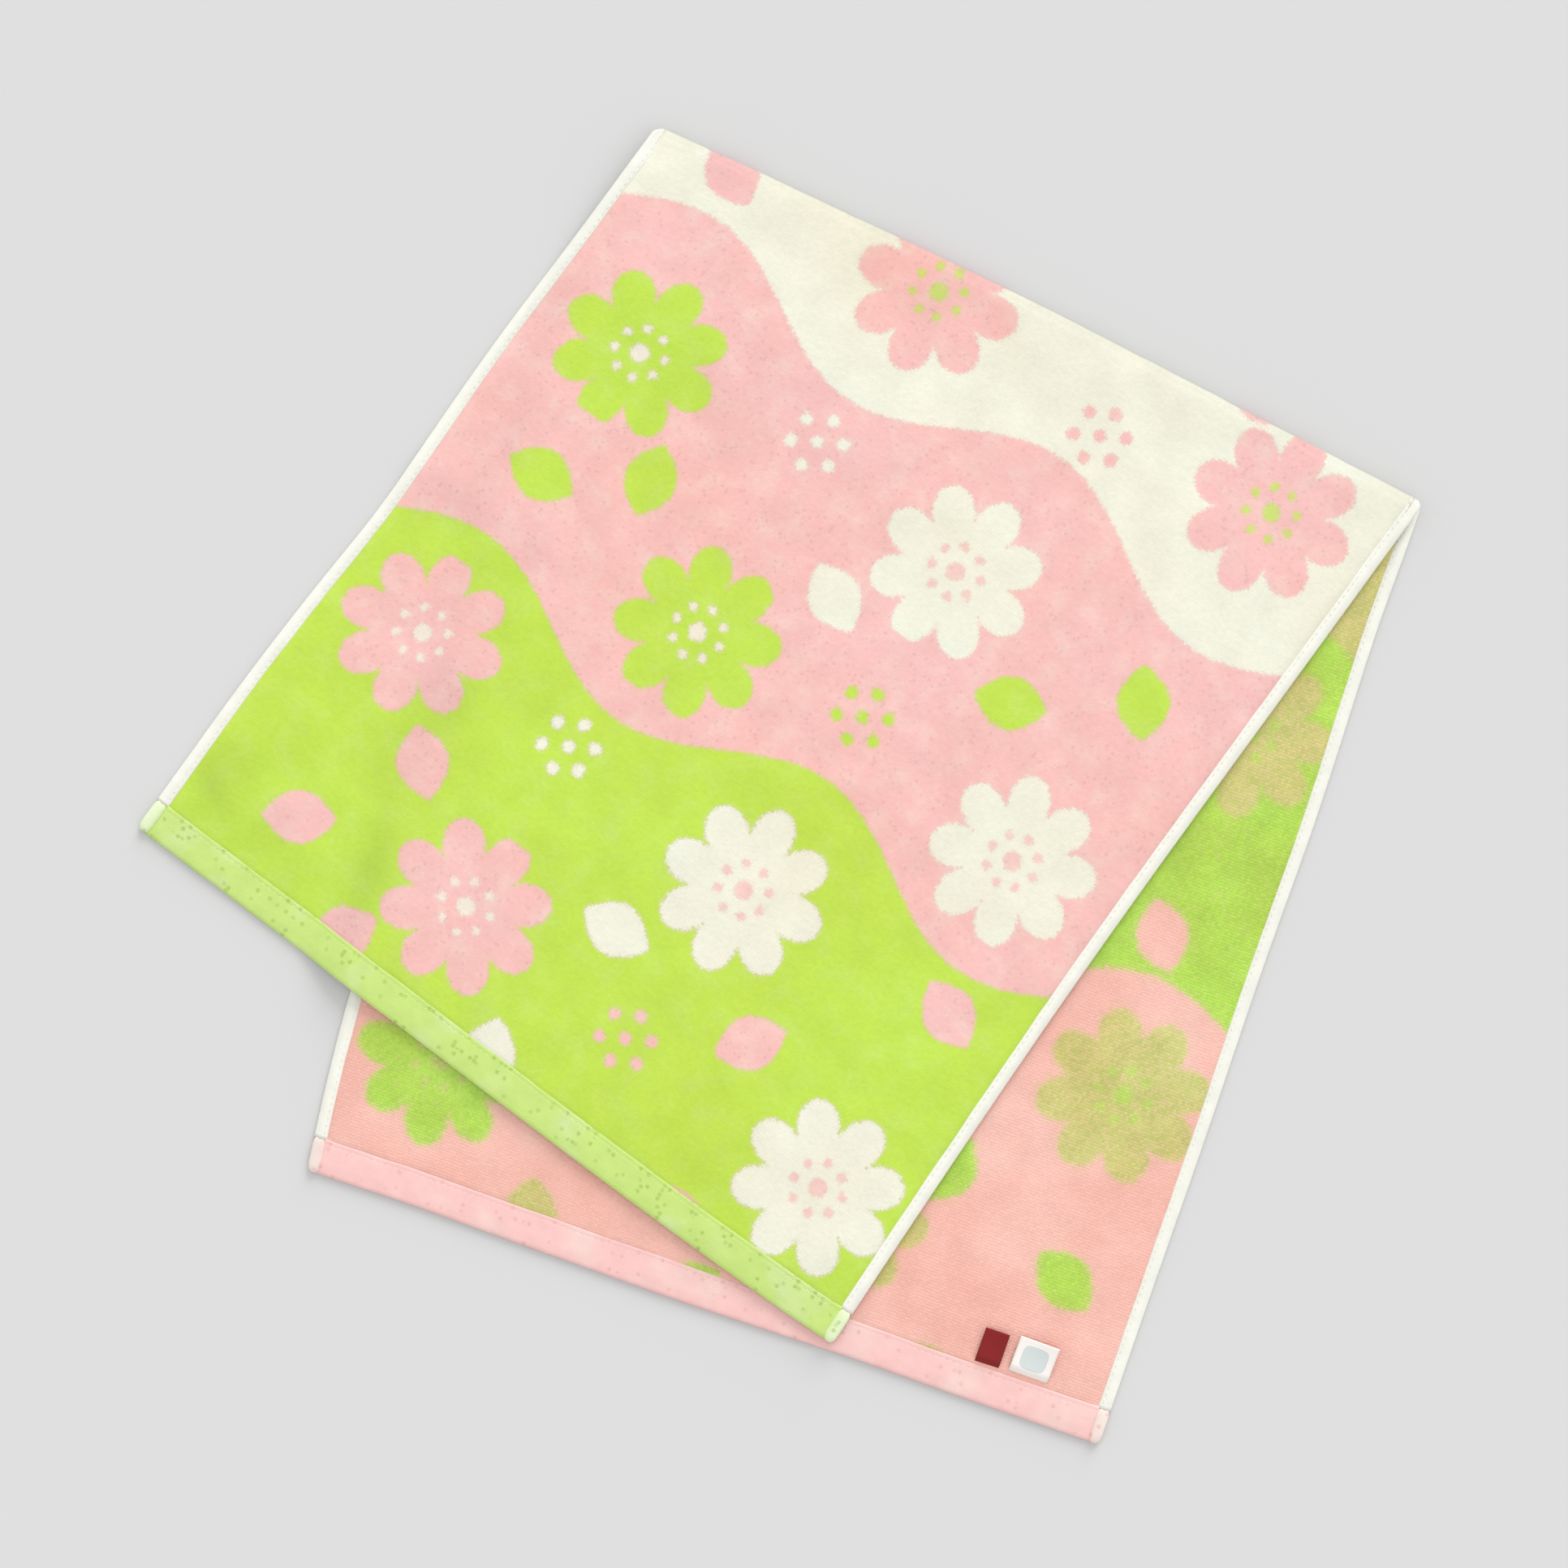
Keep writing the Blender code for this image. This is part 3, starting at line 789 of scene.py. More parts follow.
def seam_pieces(threads):
    """The lock-stitch rows on both faces of the four hems."""
    pitch = STITCH_LENGTH + STITCH_GAP
    lengthwise = np.arange(SIDE_HEM_STARTS + pitch, LENGTH - SIDE_HEM_STARTS - pitch, pitch)
    crosswise = np.arange(SIDE_HEM + pitch / 2.0, WIDTH - SIDE_HEM, pitch)
    rolled = (profile(ROLLED_PROFILE, SIDE_SEAM), profile(SIDE_STEPS, SIDE_SEAM))
    flat = (profile(FLAT_PROFILE, END_SEAM), profile(END_STEPS, END_SEAM))
    rows = (
        ("left", np.full(len(lengthwise), SIDE_SEAM), lengthwise, (0.0, 1.0), rolled),
        ("right", np.full(len(lengthwise), WIDTH - SIDE_SEAM), lengthwise, (0.0, 1.0), rolled),
        ("lower", crosswise, np.full(len(crosswise), END_SEAM), (1.0, 0.0), flat),
        ("upper", crosswise, np.full(len(crosswise), LENGTH - END_SEAM), (1.0, 0.0), flat),
    )
    made = []
    for name, across, along, direction, (own, thick) in rows:
        for face, side in (("front", -1.0), ("back", 1.0)):
            thread = threads["side" if name in ("left", "right") else face]
            depth = thick / 2.0 + side * own / 2.0
            made.append(stitches(f"seam_{name}_{face}", across, along, direction, thick, depth, side, thread))
    return made


def label_piece(row, finish):
    """A folded tape: its thin closed section runs up out of the seam, turns over at the top and returns."""
    turn_radius = (TAPE_THICK + TAPE_GAP) / 2.0
    # Middle line of the tape, as distance up the label and height above its rest plane
    reach = row.height - turn_radius - TAPE_THICK / 2.0
    up = np.linspace(LABEL_CAUGHT_AT - row.y, reach, LABEL_ROWS)
    turning = np.linspace(-np.pi / 2.0, np.pi / 2.0, LABEL_TURN_ROWS + 2)[1:-1]
    flat = np.full(LABEL_ROWS, turn_radius)
    path_up = np.concatenate([up, reach + turn_radius * np.cos(turning), up[::-1]])
    path_high = np.concatenate([-flat, turn_radius * np.sin(turning), flat])
    # Section: the middle line stepped out on both sides
    path = np.stack([path_up, path_high], axis=1)
    tangent = np.gradient(path, axis=0)
    tangent /= np.linalg.norm(tangent, axis=1)[:, None]
    out = tangent[:, ::-1] * (TAPE_THICK / 2.0, -TAPE_THICK / 2.0)
    section = np.concatenate([path + out, (path - out)[::-1]])
    across = np.linspace(0.0, row.width, LABEL_COLUMNS + 1)[:, None]
    share = across / row.width
    climb = section[:, 0] / row.height
    # It leaves the seam low, comes up on the pile and lifts towards its top, more at one side
    risen = ease(section[:, 0], *LABEL_COMES_UP)
    rest = between(LABEL_LOW, LABEL_ON_PILE, risen) + TAPE_THICK + turn_radius
    lift = row.rise * np.maximum(climb, 0.0) ** 2 * between(LABEL_LIFTS_LESS, 1.0, share)
    sway = LABEL_SWAY * risen * np.sin(share * LABEL_SWAY_ACROSS + climb * LABEL_SWAY_UP)
    turn = np.radians(row.degrees)
    x = row.x + across * np.cos(turn) - section[:, 0] * np.sin(turn)
    y = row.y + across * np.sin(turn) + section[:, 0] * np.cos(turn)
    z = rest + section[:, 1] + lift + sway
    points = np.stack(np.broadcast_arrays(x, y, z), axis=-1) - MIDDLE
    where = np.stack(np.broadcast_arrays(share, climb), axis=-1)
    made = add_tube(row.name + "_tape", points, where, [finish])
    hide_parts(row.name)


class Wire:
    """A value in a node tree. Arithmetic on it adds Math nodes."""

    def __init__(self, socket):
        self.socket = socket
        self.tree = socket.id_data

    def math(self, operation, *others):
        return calculated(operation, self, *others)

    __add__ = partialmethod(math, "ADD")
    __sub__ = partialmethod(math, "SUBTRACT")
    __mul__ = partialmethod(math, "MULTIPLY")
    __truediv__ = partialmethod(math, "DIVIDE")
    __gt__ = partialmethod(math, "GREATER_THAN")
    __lt__ = partialmethod(math, "LESS_THAN")

    def __rsub__(self, value):
        return calculated("SUBTRACT", value, self)

    def over(self, below, mask):
        """self where the mask is 1, below where it is 0."""
        return below + (self - below) * mask


def put(socket, value):
    """Links a wire to a socket, or sets the socket's value. A colour is made opaque where four numbers fit."""
    if isinstance(value, Wire):
        value.tree.links.new(value.socket, socket)
    elif isinstance(value, tuple):
        socket.default_value = (*value, 1.0)[:len(socket.default_value)]
    else:
        socket.default_value = value


def new_node(kind, inputs, **settings):
    """A node in the tree of its first wire, with its settings made and its inputs set, by name or number."""
    tree = next(value.tree for value in inputs.values() if isinstance(value, Wire))
    node = tree.nodes.new("ShaderNode" + kind)
    for name, value in settings.items():
        setattr(node, name, value)
    for name, value in inputs.items():
        put(node.inputs[name], value)
    return node


def calculated(operation, *values):
    """The result of a Math node."""
    return Wire(new_node("Math", dict(enumerate(values)), operation=operation).outputs[0])


def vector_of(*values):
    """A vector of two or three values."""
    return Wire(new_node("CombineXYZ", dict(enumerate(values))).outputs[0])


def noise_of(place_on, row):
    """A noise texture's value, about 0.5 on average."""
    inputs = {"Vector": place_on, "Scale": row.fineness, "Detail": row.detail}
    return Wire(new_node("TexNoise", inputs, noise_dimensions="2D").outputs[0])


def swing(value, amount):
    """A value from 0 to 1 made to swing about 0 by an amount."""
    return (value - 0.5) * amount


def mix_colour(factor, below, above):
    """A mix of two colours, either of them a wire or a constant."""
    return Wire(new_node("Mix", {0: factor, 6: below, 7: above}, data_type="RGBA").outputs[2])


def scale_colour(colour, factor):
    """A colour made lighter or darker by a number."""
    return Wire(new_node("VectorMath", {0: colour, "Scale": factor}, operation="SCALE").outputs[0])


def new_group(name, inputs, outputs):
    """A shader node group. Gives its input wires and its output node.

    Inputs are names and values, and outputs are names. One that is named Colour holds a colour.
    """
    tree = bpy.data.node_groups.new(name, "ShaderNodeTree")
    for label, in_out in [(label, "INPUT") for label in inputs] + [(label, "OUTPUT") for label in outputs]:
        kind = "NodeSocketColor" if label == "Colour" else "NodeSocketFloat"
        socket = tree.interface.new_socket(name=label, in_out=in_out, socket_type=kind)
        if in_out == "INPUT":
            socket.default_value = inputs[label]
    source = tree.nodes.new("NodeGroupInput")
    return [Wire(source.outputs[label]) for label in inputs], tree.nodes.new("NodeGroupOutput")


def give(out, **values):
    """Links a group's outputs. An underscore in a name stands for a space. Gives the finished group."""
    for label, value in values.items():
        put(out.inputs[label.replace("_", " ")], value)
    return out.id_data


def use_group(group, **values):
    """A group node with its inputs set. Gives its outputs as wires by their names."""
    return {socket.name: Wire(socket) for socket in new_node("Group", values, node_tree=group).outputs}


# The inputs of a group that reads a place on the cloth, or a place measured from a motif's middle
PLACED = {"Across": 0.0, "Along": 0.0}
SPOTTED = {"X": 0.0, "Y": 0.0}


def bands_group():
    """Colour fields: green near the end hems, pink next, white in the middle, with wavy borders.

    The waves bend round the flowers on either side: each goes away from the flowers of the odd row before it.
    """
    (across, along), out = new_group("woven_bands", PLACED, ("Green", "White"))
    wave = ((across - REPEAT * 0.75) * (2.0 * np.pi / REPEAT)).math("COSINE")
    line = {name: wave * WAVE + (row + 0.5) * ROW_STEP + ROW_FIRST for name, row in BORDER_ROWS.items()}
    green = (along < line["lower_green"]) + (along > line["upper_green"])
    return give(out, Green=green, White=(along > line["lower_white"]) * (along < line["upper_white"]))


def choice_group(bands):
    """The yarn of a small motif, from the colour field at its middle: one of the other two colours."""
    outputs = ("Green", "White", "Field Green", "Field White")
    (across, along, second), out = new_group("woven_choice", {**PLACED, "Second": 0.0}, outputs)
    field = use_group(bands, Across=across, Along=along)
    green, white = field["Green"], field["White"]
    first, other = 1.0 - second, 1.0 - green
    chosen_white = green * first + other * (1.0 - white) * second
    return give(out, Green=other * first, White=chosen_white, Field_Green=green, Field_White=white)


def dots_round(radius, angle, count, reach, size):
    """A ring of dots, found in one sector of the turn and repeated."""
    sector = 2.0 * np.pi / count
    local = angle.math("FLOORED_MODULO", sector) - sector / 2.0
    dot_x = radius * local.math("COSINE") - reach
    dot_y = radius * local.math("SINE")
    return (dot_x * dot_x + dot_y * dot_y) < size ** 2


def flower_group():
    """A flower of round petals with a heart: a mask of its petals and one of its heart's dots.

    Petals: the edge lies between the notch and the full size, by a power of the cosine of half the petal
    count times the angle. Heart: a small disc and a ring of dots.
    """
    (x, y, turn), out = new_group("woven_flower", {**SPOTTED, "Turn": 0.0}, ("Petals", "Heart"))
    radius = (x * x + y * y).math("SQRT") / FLOWER_SIZE
    angle = y.math("ARCTAN2", x) + turn
    lobe = (angle * (FLOWER_PETALS / 2.0)).math("COSINE").math("ABSOLUTE").math("POWER", PETAL_POWER)
    petals = radius < (lobe * (1.0 - PETAL_NOTCH) + PETAL_NOTCH)
    dots = dots_round(radius, angle, FLOWER_PETALS, HEART_RING, HEART_DOT)
    return give(out, Petals=petals, Heart=dots.math("MAXIMUM", radius < HEART_DISC) * HEART)


def ring_group():
    """A ring of dots round one more dot."""
    (x, y), out = new_group("woven_ring", SPOTTED, ("Dots",))
    radius = (x * x + y * y).math("SQRT")
    dots = dots_round(radius, y.math("ARCTAN2", x), RING_DOTS, RING_SIZE, RING_DOT)
    return give(out, Dots=dots.math("MAXIMUM", radius < RING_DOT))


def leaf_group():
    """A pointed leaf: inside where the distance from its axis is under a parabola of the length."""
    (x, y, turn), out = new_group("woven_leaf", {**SPOTTED, "Turn": 0.0}, ("Blade",))
    cos, sin = turn.math("COSINE"), turn.math("SINE")
    share = (x * cos + y * sin) / LEAF_LENGTH
    sideways = (y * cos - x * sin).math("ABSOLUTE")
    return give(out, Blade=sideways < (1.0 - share * share) * LEAF_WIDTH)


def shifted_group():
    """A motif's place moved off its grid point by waves of its column and row, so that rows look hand set."""
    inputs = {**SPOTTED, "Column": 0.0, "Row": 0.0}
    (x, y, column, row), out = new_group("woven_shift", inputs, ("X", "Y", "Turn"))
    steps = (SHIFT_X_WAVE, SHIFT_Y_WAVE, TURN_STEPS)
    x_wave, y_wave, turn = (column * a_column + row * a_row for a_column, a_row in steps)
    return give(out, X=x - x_wave.math("SINE") * SHIFT, Y=y - y_wave.math("COSINE") * SHIFT, Turn=turn)


def pattern_group(bands, choice, shifted, flower, ring, leaf):
    """The whole woven pattern as two masks, green and white; where neither is 1 it is pink.

    Flowers stand one repeat apart, each row half a repeat on. Between two flowers of a row is a leaf or a
    ring of dots, and between two rows a leaf at each half repeat, except where a border runs. A motif's yarn
    follows the colour field at its middle and whether its row and column are odd.
    """
    (across, along), out = new_group("woven_pattern", PLACED, ("Green", "White"))

    def is_second(halves):
        """1 where a count of halves, taken round every two, is 1 or 1.5, and not 0 or a half."""
        return halves.math("FLOORED_MODULO", 2.0) > 0.9

    def motif(at_across, at_along, second, column, row):
        """The yarn at a motif's middle, and the place measured from its middle after its shift."""
        yarn = use_group(choice, Across=at_across, Along=at_along, Second=second)
        return yarn, use_group(shifted, X=across - at_across, Y=along - at_along, Column=column, Row=row)

    steps = (along - ROW_FIRST) / ROW_STEP
    row = (steps + 0.5).math("FLOOR")
    row_along = row * ROW_STEP + ROW_FIRST
    odd = row.math("FLOORED_MODULO", 2.0)
    columns = (across + REPEAT * 0.25) / REPEAT + odd * 0.5

    column = columns.math("FLOOR")
    second = (column + row).math("FLOORED_MODULO", 2.0)
    yarn, spot = motif((column - odd * 0.5 + 0.25) * REPEAT, row_along, second, column, row)
    shape = use_group(flower, **spot)
    coloured = 1.0 - yarn["Field White"]
    flower_green = (1.0 - yarn["Field Green"]) * coloured * (1.0 - second)
    heart_white = coloured * (1.0 - second)

    column = (columns + 0.5).math("FLOOR")
    second_between = is_second(column * 0.5 + row * 0.5)
    at = (column - odd * 0.5 - 0.25) * REPEAT
    between_yarn, spot = motif(at, row_along, second_between, column + 0.5, row)
    has_ring = (column + row).math("FLOORED_MODULO", 2.0)
    between_leaf = use_group(leaf, **spot)["Blade"] * (1.0 - has_ring)
    between_ring = use_group(ring, X=spot["X"], Y=spot["Y"])["Dots"] * has_ring

    row = steps.math("FLOOR")
    column = (across / (REPEAT * 0.5) + 0.5).math("FLOOR")
    at = column * (REPEAT * 0.5)
    clear = (at - WIDTH / 2.0).math("ABSOLUTE") < WIDTH * HALF_LEAVES_REACH
    for border_row in BORDER_ROWS.values():
        clear = clear * ((row - border_row).math("ABSOLUTE") > 0.5)
    second_half = is_second(column + row * 0.5)
    half_yarn, spot = motif(at, (row + 0.5) * ROW_STEP + ROW_FIRST, second_half, column, row + 0.5)
    half_leaf = use_group(leaf, **spot)["Blade"] * clear

    ground = use_group(bands, Across=across, Along=along)
    green, white = ground["Green"], ground["White"]
    for mask, mask_green, mask_white in (
        (shape["Petals"], flower_green, coloured * second),
        (shape["Heart"], yarn["Field White"], heart_white),
        (between_leaf.math("MAXIMUM", between_ring), between_yarn["Green"], between_yarn["White"]),
        (half_leaf, half_yarn["Green"], half_yarn["White"]),
    ):
        green = mask_green.over(green, mask)
        white = mask_white.over(white, mask)
    return give(out, Green=green, White=white)


def loops_group():
    """The grid of pile loops: each loop's middle, two random numbers for it and its rounded height."""
    outputs = ("Across", "Along", "First", "Second", "Height")
    (across, along, size), out = new_group("pile_loops", {**PLACED, "Size": LOOP}, outputs)
    cells = [(value / size).math("FLOOR") for value in (across, along)]
    random = new_node("TexWhiteNoise", {"Vector": vector_of(*cells)}, noise_dimensions="3D")
    first = Wire(random.outputs["Value"])
    parts = [Wire(s) for s in new_node("SeparateColor", {0: Wire(random.outputs["Color"])}).outputs]
    strays = [swing(part, 1.0) for part in parts[:2]]
    offs = [v / size - c - 0.5 - s * LOOP_TOP_STRAYS for v, c, s in zip((across, along), cells, strays)]
    top = (1.0 - (offs[0] * offs[0] + offs[1] * offs[1]) * LOOP_FALLS).math("MAXIMUM", 0.0)
    middle = [(c + 0.5 + s * LOOP_YARN_STRAYS) * size for c, s in zip(cells, strays)]
    height = top * (first * 0.5 + 0.5)
    return give(out, Across=middle[0], Along=middle[1], First=first, Second=parts[2], Height=height)


def fuzz_group():
    """A place moved by a fine noise, so that yarns of two colours mingle along a motif's edge."""
    (across, along, reach), out = new_group("fuzzed_place", {**PLACED, "Reach": FUZZ.amount}, PLACED)
    first = noise_of(vector_of(across, along), FUZZ)
    second = noise_of(vector_of(along, across), FUZZ)
    return give(out, Across=across + swing(first, reach), Along=along + swing(second, reach))


def drift_group():
    """Slow drift of a dye over the cloth: its red, green and blue made lighter or darker by a wide noise."""
    inputs = {"Colour": (1.0, 1.0, 1.0, 1.0), **PLACED, **FRONT_DRIFT}
    (colour, across, along, *amounts), out = new_group("dye_drift", inputs, ("Colour",))
    wide = swing(noise_of(vector_of(across, along), DRIFT), DRIFT.amount)
    drift = vector_of(*[wide * amount + 1.0 for amount in amounts])
    dyed = new_node("VectorMath", {0: colour, 1: drift}, operation="MULTIPLY")
    return give(out, Colour=Wire(dyed.outputs[0]))


def weave_group():
    """A plain weave: threads over and under each other, as a height from 0 to 1."""
    (across, along, pitch), out = new_group("plain_weave", {**PLACED, "Pitch": HEM_WEAVE}, ("Height",))
    a, b = ((value / pitch * np.pi).math("SINE") for value in (across, along))
    return give(out, Height=a * b * 0.5 + 0.5)


def specks_group(loops):
    """Sparse soft specks from 0 to 1, in a few cells of a grid: more of them where a wide noise is high."""
    (across, along, amount), out = new_group("yarn_specks", {**PLACED, "Amount": 0.0}, ("Speck",))
    cell = use_group(loops, Across=across, Along=along, Size=SPECK_SPACING)
    cluster = noise_of(vector_of(across, along), SPECK_CLUSTERS)
    chosen = cell["Second"] > (1.0 - cluster * amount)
    return give(out, Speck=chosen * (cell["Height"] * SPECK_RISE - SPECK_SUNK).math("MAXIMUM", 0.0))


def new_material(name, gloss):
    """A finish with its Principled shader. Gives the material and the shader."""
    made = bpy.data.materials.new(name)
    made.use_nodes = True
    shader = made.node_tree.nodes["Principled BSDF"]
    put(shader.inputs["Roughness"], gloss.roughness)
    put(shader.inputs["Specular IOR Level"], gloss.specular)
    return made, shader


def cloth_places(shader):
    """The piece's two towel coordinates from its UV map, and both as a vector."""
    uv = shader.id_data.nodes.new("ShaderNodeUVMap")
    uv.uv_map = PLACE
    vector = Wire(uv.outputs[0])
    parts = new_node("SeparateXYZ", {0: vector}).outputs
    return Wire(parts[0]), Wire(parts[1]), vector


def painted_shade_of(shader):
    """The painted shade at a point, the share of light taken off the colour, from the piece's attribute."""
    node = shader.id_data.nodes.new("ShaderNodeAttribute")
    node.attribute_name = PAINTED_SHADE_NAME
    return Wire(node.outputs["Fac"])


def set_surface(shader, colour, height, distance):
    """Gives a shader its colour, and its bump from a height wire."""
    put(shader.inputs["Base Color"], colour)
    bump = new_node("Bump", {"Distance": distance, "Height": height})
    put(shader.inputs["Normal"], Wire(bump.outputs[0]))


def yarns(pattern, loops, fuzz, across, along, reach):
    """The loop at a place, and the pattern there by whole loops, by fuzzed places, and both of them mixed."""
    cell = use_group(loops, Across=across, Along=along)
    sharp = use_group(pattern, Across=cell["Across"], Along=cell["Along"])
    soft = use_group(pattern, **use_group(fuzz, Across=across, Along=along, Reach=reach))
    mixed = {name: sharp[name] * SHARP_SHARE + soft[name] * (1.0 - SHARP_SHARE) for name in sharp}
    return cell, sharp, soft, mixed


def front_material(pattern, loops, fuzz, drift):
    """Sheared velour: soft loops of three yarns, mottled where the pile leans, with a few dark specks, painted
    shade in the grooves along motif edges and painted shade from the piece's attribute.
    """
    made, shader = new_material("velour_front", PILE_GLOSS)
    put(shader.inputs["Sheen Weight"], PILE_SHEEN)
    across, along, place_on = cloth_places(shader)
    cell, sharp, soft, mixed = yarns(pattern, loops, fuzz, across, along, FUZZ.amount)
    green, white = mixed["Green"], mixed["White"]
    # Painted shade in the grooves along motif edges, where the pattern by whole loops and the fuzzed one
    # differ
    painted_groove_masks = [(sharp[name] - soft[name]).math("ABSOLUTE") for name in ("Green", "White")]
    mottle_and_painted_shade, pale, fine = (noise_of(place_on, row) for row in (FRONT_LEAN, FRONT_PALE, FRONT_FINE))
    faded = ((pale - FADES_FROM) * FRONT_PALE.amount).math("MAXIMUM", 0.0) * (1.0 - green * GREEN_FADES_LESS)
    colour = mix_colour(white, mix_colour(green, PINK, GREEN), CREAM)
    colour = mix_colour(faded, colour, CREAM)
    shade = swing(mottle_and_painted_shade, FRONT_LEAN.amount) + 1.0 + swing(fine, FRONT_FINE.amount)
    shade = shade + swing(cell["First"], FRONT_LOOP_SHADE) - (painted_groove_masks[0] + painted_groove_masks[1]) * EDGE_GROOVE_PAINTED_SHADE
    shown = 1.0 - white - green * GREEN_HIDES_SPECKS
    speck = (cell["Second"] > DARK_SPECKS_FROM) * shown * DARK_SPECK_SHADE
    colour = scale_colour(colour, shade - speck - painted_shade_of(shader))
    drifted = use_group(drift, Colour=colour, Across=across, Along=along, **FRONT_DRIFT)
    height = cell["Height"] * FRONT_BUMP_LOOP + fine * FRONT_BUMP_FINE + mottle_and_painted_shade * FRONT_BUMP_LEAN
    set_surface(shader, drifted["Colour"], height, PILE_BUMP)
    return made


def back_material(pattern, loops, fuzz, drift):
    """Terry loops with the colours exchanged. Under the white yarn both others show, loop by loop."""
    made, shader = new_material("looped_back", PILE_GLOSS)
    put(shader.inputs["Sheen Weight"], PILE_SHEEN)
    across, along, place_on = cloth_places(shader)
    cell, sharp, _, mixed = yarns(pattern, loops, fuzz, across, along, FUZZ.amount * BACK_FUZZ_TIMES)
    under = mixed["Green"]
    pink = under * BACK_PINK + (1.0 - under) * (cell["Second"] > STRAY_FROM) * STRAY_PINK
    mingled = mix_colour(cell["First"] * MINGLED_SPAN + MINGLED_FROM, LOOP_GREEN, LOOP_PINK)
    mingled = mix_colour(MINGLED_TAN, mingled, LOOP_TAN)
    colour = mix_colour(mixed["White"], mix_colour(pink, LOOP_GREEN, LOOP_PINK), mingled)
    mottle_and_painted_shade, fine = (noise_of(place_on, row) for row in (BACK_LEAN, BACK_FINE))
    shade = swing(mottle_and_painted_shade, BACK_LEAN.amount) + (BACK_LIGHT - 1.0) + swing(fine, BACK_FINE.amount)
    shade = shade + swing(cell["First"], BACK_LOOP_SHADE) + cell["Height"] * BACK_TOP_LIGHT
    colour = scale_colour(colour, shade * (1.0 - sharp["Green"] * GREEN_SMOOTHS) + 1.0)
    wide = use_group(drift, Colour=colour, Across=across, Along=along, **BACK_DRIFT)
    across, along = across * FINE_DRIFT_TIMES, along * FINE_DRIFT_TIMES
    drifted = use_group(drift, Colour=wide["Colour"], Across=across, Along=along, **BACK_FINE_DRIFT)
    set_surface(shader, drifted["Colour"], cell["Height"] + fine * BACK_BUMP_FINE, PILE_BUMP)
    return made


def hem_material(name, groups, colour, speck_colour=None, inner_colour=None):
    """Flat woven or rolled cotton: plain weave, paler and deeper patches, specks of the other yarn, and
    painted shade from the piece's attribute.

    A corner block's inner colour takes over towards the middle of the towel.
    """
    weave, speck_group = groups
    made, shader = new_material(name, HEM_GLOSS)
    across, along, place_on = cloth_places(shader)
    if inner_colour is not None:
        inward = WIDTH / 2.0 - (across - WIDTH / 2.0).math("ABSOLUTE")
        inner = (inward - SIDE_HEM * CORNER_INNER_FROM) / (SIDE_HEM * (1.0 - CORNER_INNER_FROM))
        inner = inner.math("MINIMUM", 1.0).math("MAXIMUM", 0.0)
        colour = mix_colour(inner * CORNER_INNER_SHARE, colour, inner_colour)
    if speck_colour is not None:
        patches = swing(noise_of(place_on, HEM_PATCHES), HEM_PATCHES.amount)
        colour = mix_colour(patches.math("MAXIMUM", 0.0), colour, HEM_WHITE)
        end_in = LENGTH / 2.0 - (along - LENGTH / 2.0).math("ABSOLUTE")
        amount = (end_in / END_HEM * SPECKS_INWARD + SPECKS_AT_EDGE) * SPECK_SHARES[name]
        speck = use_group(speck_group, Across=across, Along=along, Amount=amount)
        colour = mix_colour(speck["Speck"] * SPECK_STRENGTH, colour, speck_colour)
    threads = use_group(weave, Across=across, Along=along, Pitch=HEM_WEAVE)
    uneven = noise_of(place_on, HEM_UNEVEN)
    shade = swing(uneven, HEM_UNEVEN.amount) + HEM_LIGHT + threads["Height"] * HEM_WEAVE_LIGHT
    height = threads["Height"] * HEM_BUMP_WEAVE + uneven * HEM_BUMP_UNEVEN
    # The piece's painted shade is taken off the colour here
    set_surface(shader, scale_colour(colour, shade - painted_shade_of(shader)), height, HEM_BUMP)
    return made


def thread_material(name, colour):
    """Cotton thread, a little lighter than the hem it is sewn on, with painted shade from the piece's
    attribute.
    """
    made, shader = new_material(name, THREAD_GLOSS)
    twist = noise_of(cloth_places(shader)[2], THREAD_TWIST)
    shade = twist * THREAD_TWIST.amount + THREAD_LIGHT - painted_shade_of(shader)
    set_surface(shader, scale_colour(colour, shade), twist, THREAD_BUMP)
    return made


def label_material(name, weave, colour, field_colour):
    """Fine woven tape, with a plain woven field inside its margin: a square with rounded corners."""
    made, shader = new_material(name, TAPE_GLOSS)
    across, along, _ = cloth_places(shader)
    threads = use_group(weave, Across=across, Along=along, Pitch=TAPE_WEAVE)
    power = LABEL_FIELD_POWER
    a, b = ((value - 0.5).math("ABSOLUTE").math("POWER", power) for value in (across, along))
    woven = mix_colour((a + b) < LABEL_FIELD_REACH ** power, colour, field_colour)
    woven = scale_colour(woven, threads["Height"] * TAPE_WEAVE_LIGHT + TAPE_LIGHT)
    set_surface(shader, woven, threads["Height"], TAPE_BUMP)
    return made


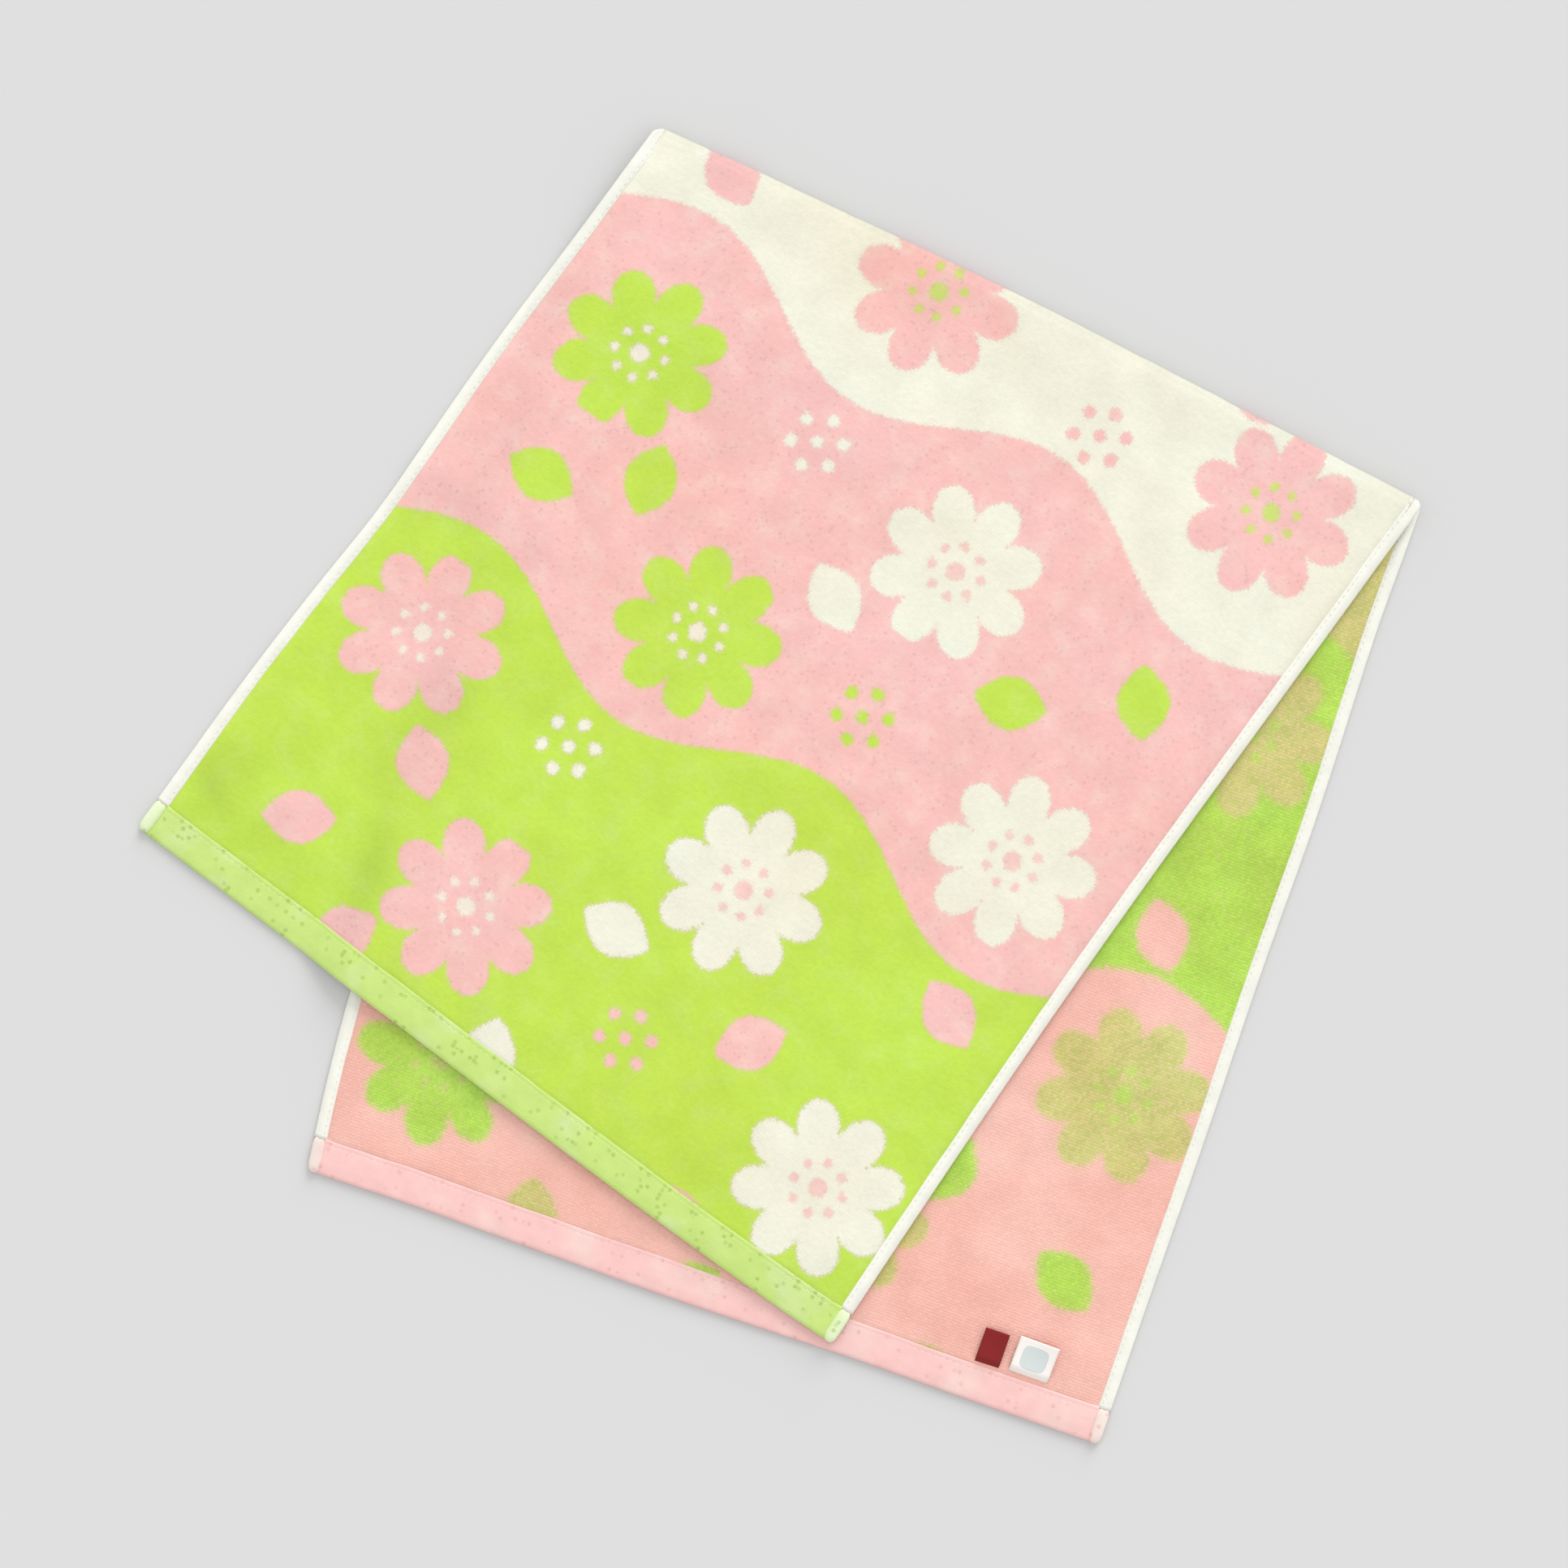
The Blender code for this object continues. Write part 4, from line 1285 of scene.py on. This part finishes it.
def add_cloth():
    """All pieces of the cloth: pile body, hems, corner blocks and seams, and the labels."""
    bands = bands_group()
    motifs = (shifted_group(), flower_group(), ring_group(), leaf_group())
    pattern = pattern_group(bands, choice_group(bands), *motifs)
    loops, weave = loops_group(), weave_group()
    groups = (weave, specks_group(loops))
    wear = (fuzz_group(), drift_group())
    body = body_piece([front_material(pattern, loops, *wear), back_material(pattern, loops, *wear)])
    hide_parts("towel_cloth")

    white = hem_material("rolled_hem_white", groups, HEM_WHITE)
    ends = [
        hem_material("flat_hem_green", groups, HEM_GREEN, HEM_GREEN_SPECK),
        hem_material("flat_hem_pink", groups, HEM_PINK, HEM_PINK_SPECK),
    ]
    corners = [
        hem_material("corner_green", groups, CORNER_GREEN, HEM_GREEN_SPECK, HEM_GREEN),
        hem_material("corner_pink", groups, CORNER_PINK, HEM_PINK_SPECK, HEM_PINK),
    ]
    trim = [side_hem("hem_left", True, white), side_hem("hem_right", False, white)]
    trim += [end_hem("hem_lower", True, ends), end_hem("hem_upper", False, ends)]
    for end, lower in (("lower", True), ("upper", False)):
        for side, left in (("left", True), ("right", False)):
            trim.append(corner_block(f"corner_{end}_{side}", left, lower, corners))
    threads = {
        "side": thread_material("thread_white", HEM_WHITE),
        "front": thread_material("thread_green", HEM_GREEN),
        "back": thread_material("thread_pink", HEM_PINK),
    }
    trim += seam_pieces(threads)
    red = label_material("label_red", weave, LABEL_RED, LABEL_RED)
    pale = label_material("label_white", weave, LABEL_WHITE, LABEL_FIELD)
    for row, finish in zip(LABELS, (red, pale)):
        label_piece(row, finish)


def add_stage():
    """Pale floor, soft low sun from the top of the picture, even sky, and the camera straight above."""
    scene = bpy.context.scene
    half = FLOOR_SIZE / 2.0
    mesh = bpy.data.meshes.new("floor")
    corners = [(-half, -half, 0.0), (half, -half, 0.0), (half, half, 0.0), (-half, half, 0.0)]
    mesh.from_pydata(corners, [], [(0, 1, 2, 3)])
    finish, shader = new_material("floor_grey", FLOOR_GLOSS)
    put(shader.inputs["Base Color"], FLOOR_GREY)
    mesh.materials.append(finish)
    add_object("floor", mesh)

    world = bpy.data.worlds.new("sky")
    world.use_nodes = True
    sky = world.node_tree.nodes["Background"]
    put(sky.inputs["Color"], SKY_WHITE)
    put(sky.inputs["Strength"], SKY_STRENGTH)
    scene.world = world

    lamp = bpy.data.lights.new("sun", "SUN")
    lamp.energy = SUN_STRENGTH
    lamp.angle = np.radians(SUN_SOFTNESS)
    sun = add_object("sun", lamp)
    sun.rotation_euler = (0.0, np.radians(90.0 - SUN_ELEVATION), np.radians(SUN_FROM))

    camera = bpy.data.cameras.new("camera")
    camera.lens = LENS
    camera.sensor_width = SENSOR
    viewer = add_object("camera", camera)
    viewer.location = CAMERA_PLACE
    viewer.rotation_euler = (0.0, 0.0, np.radians(CAMERA_ROLL))
    scene.camera = viewer
    scene.view_settings.view_transform = "Standard"


add_cloth()
add_stage()
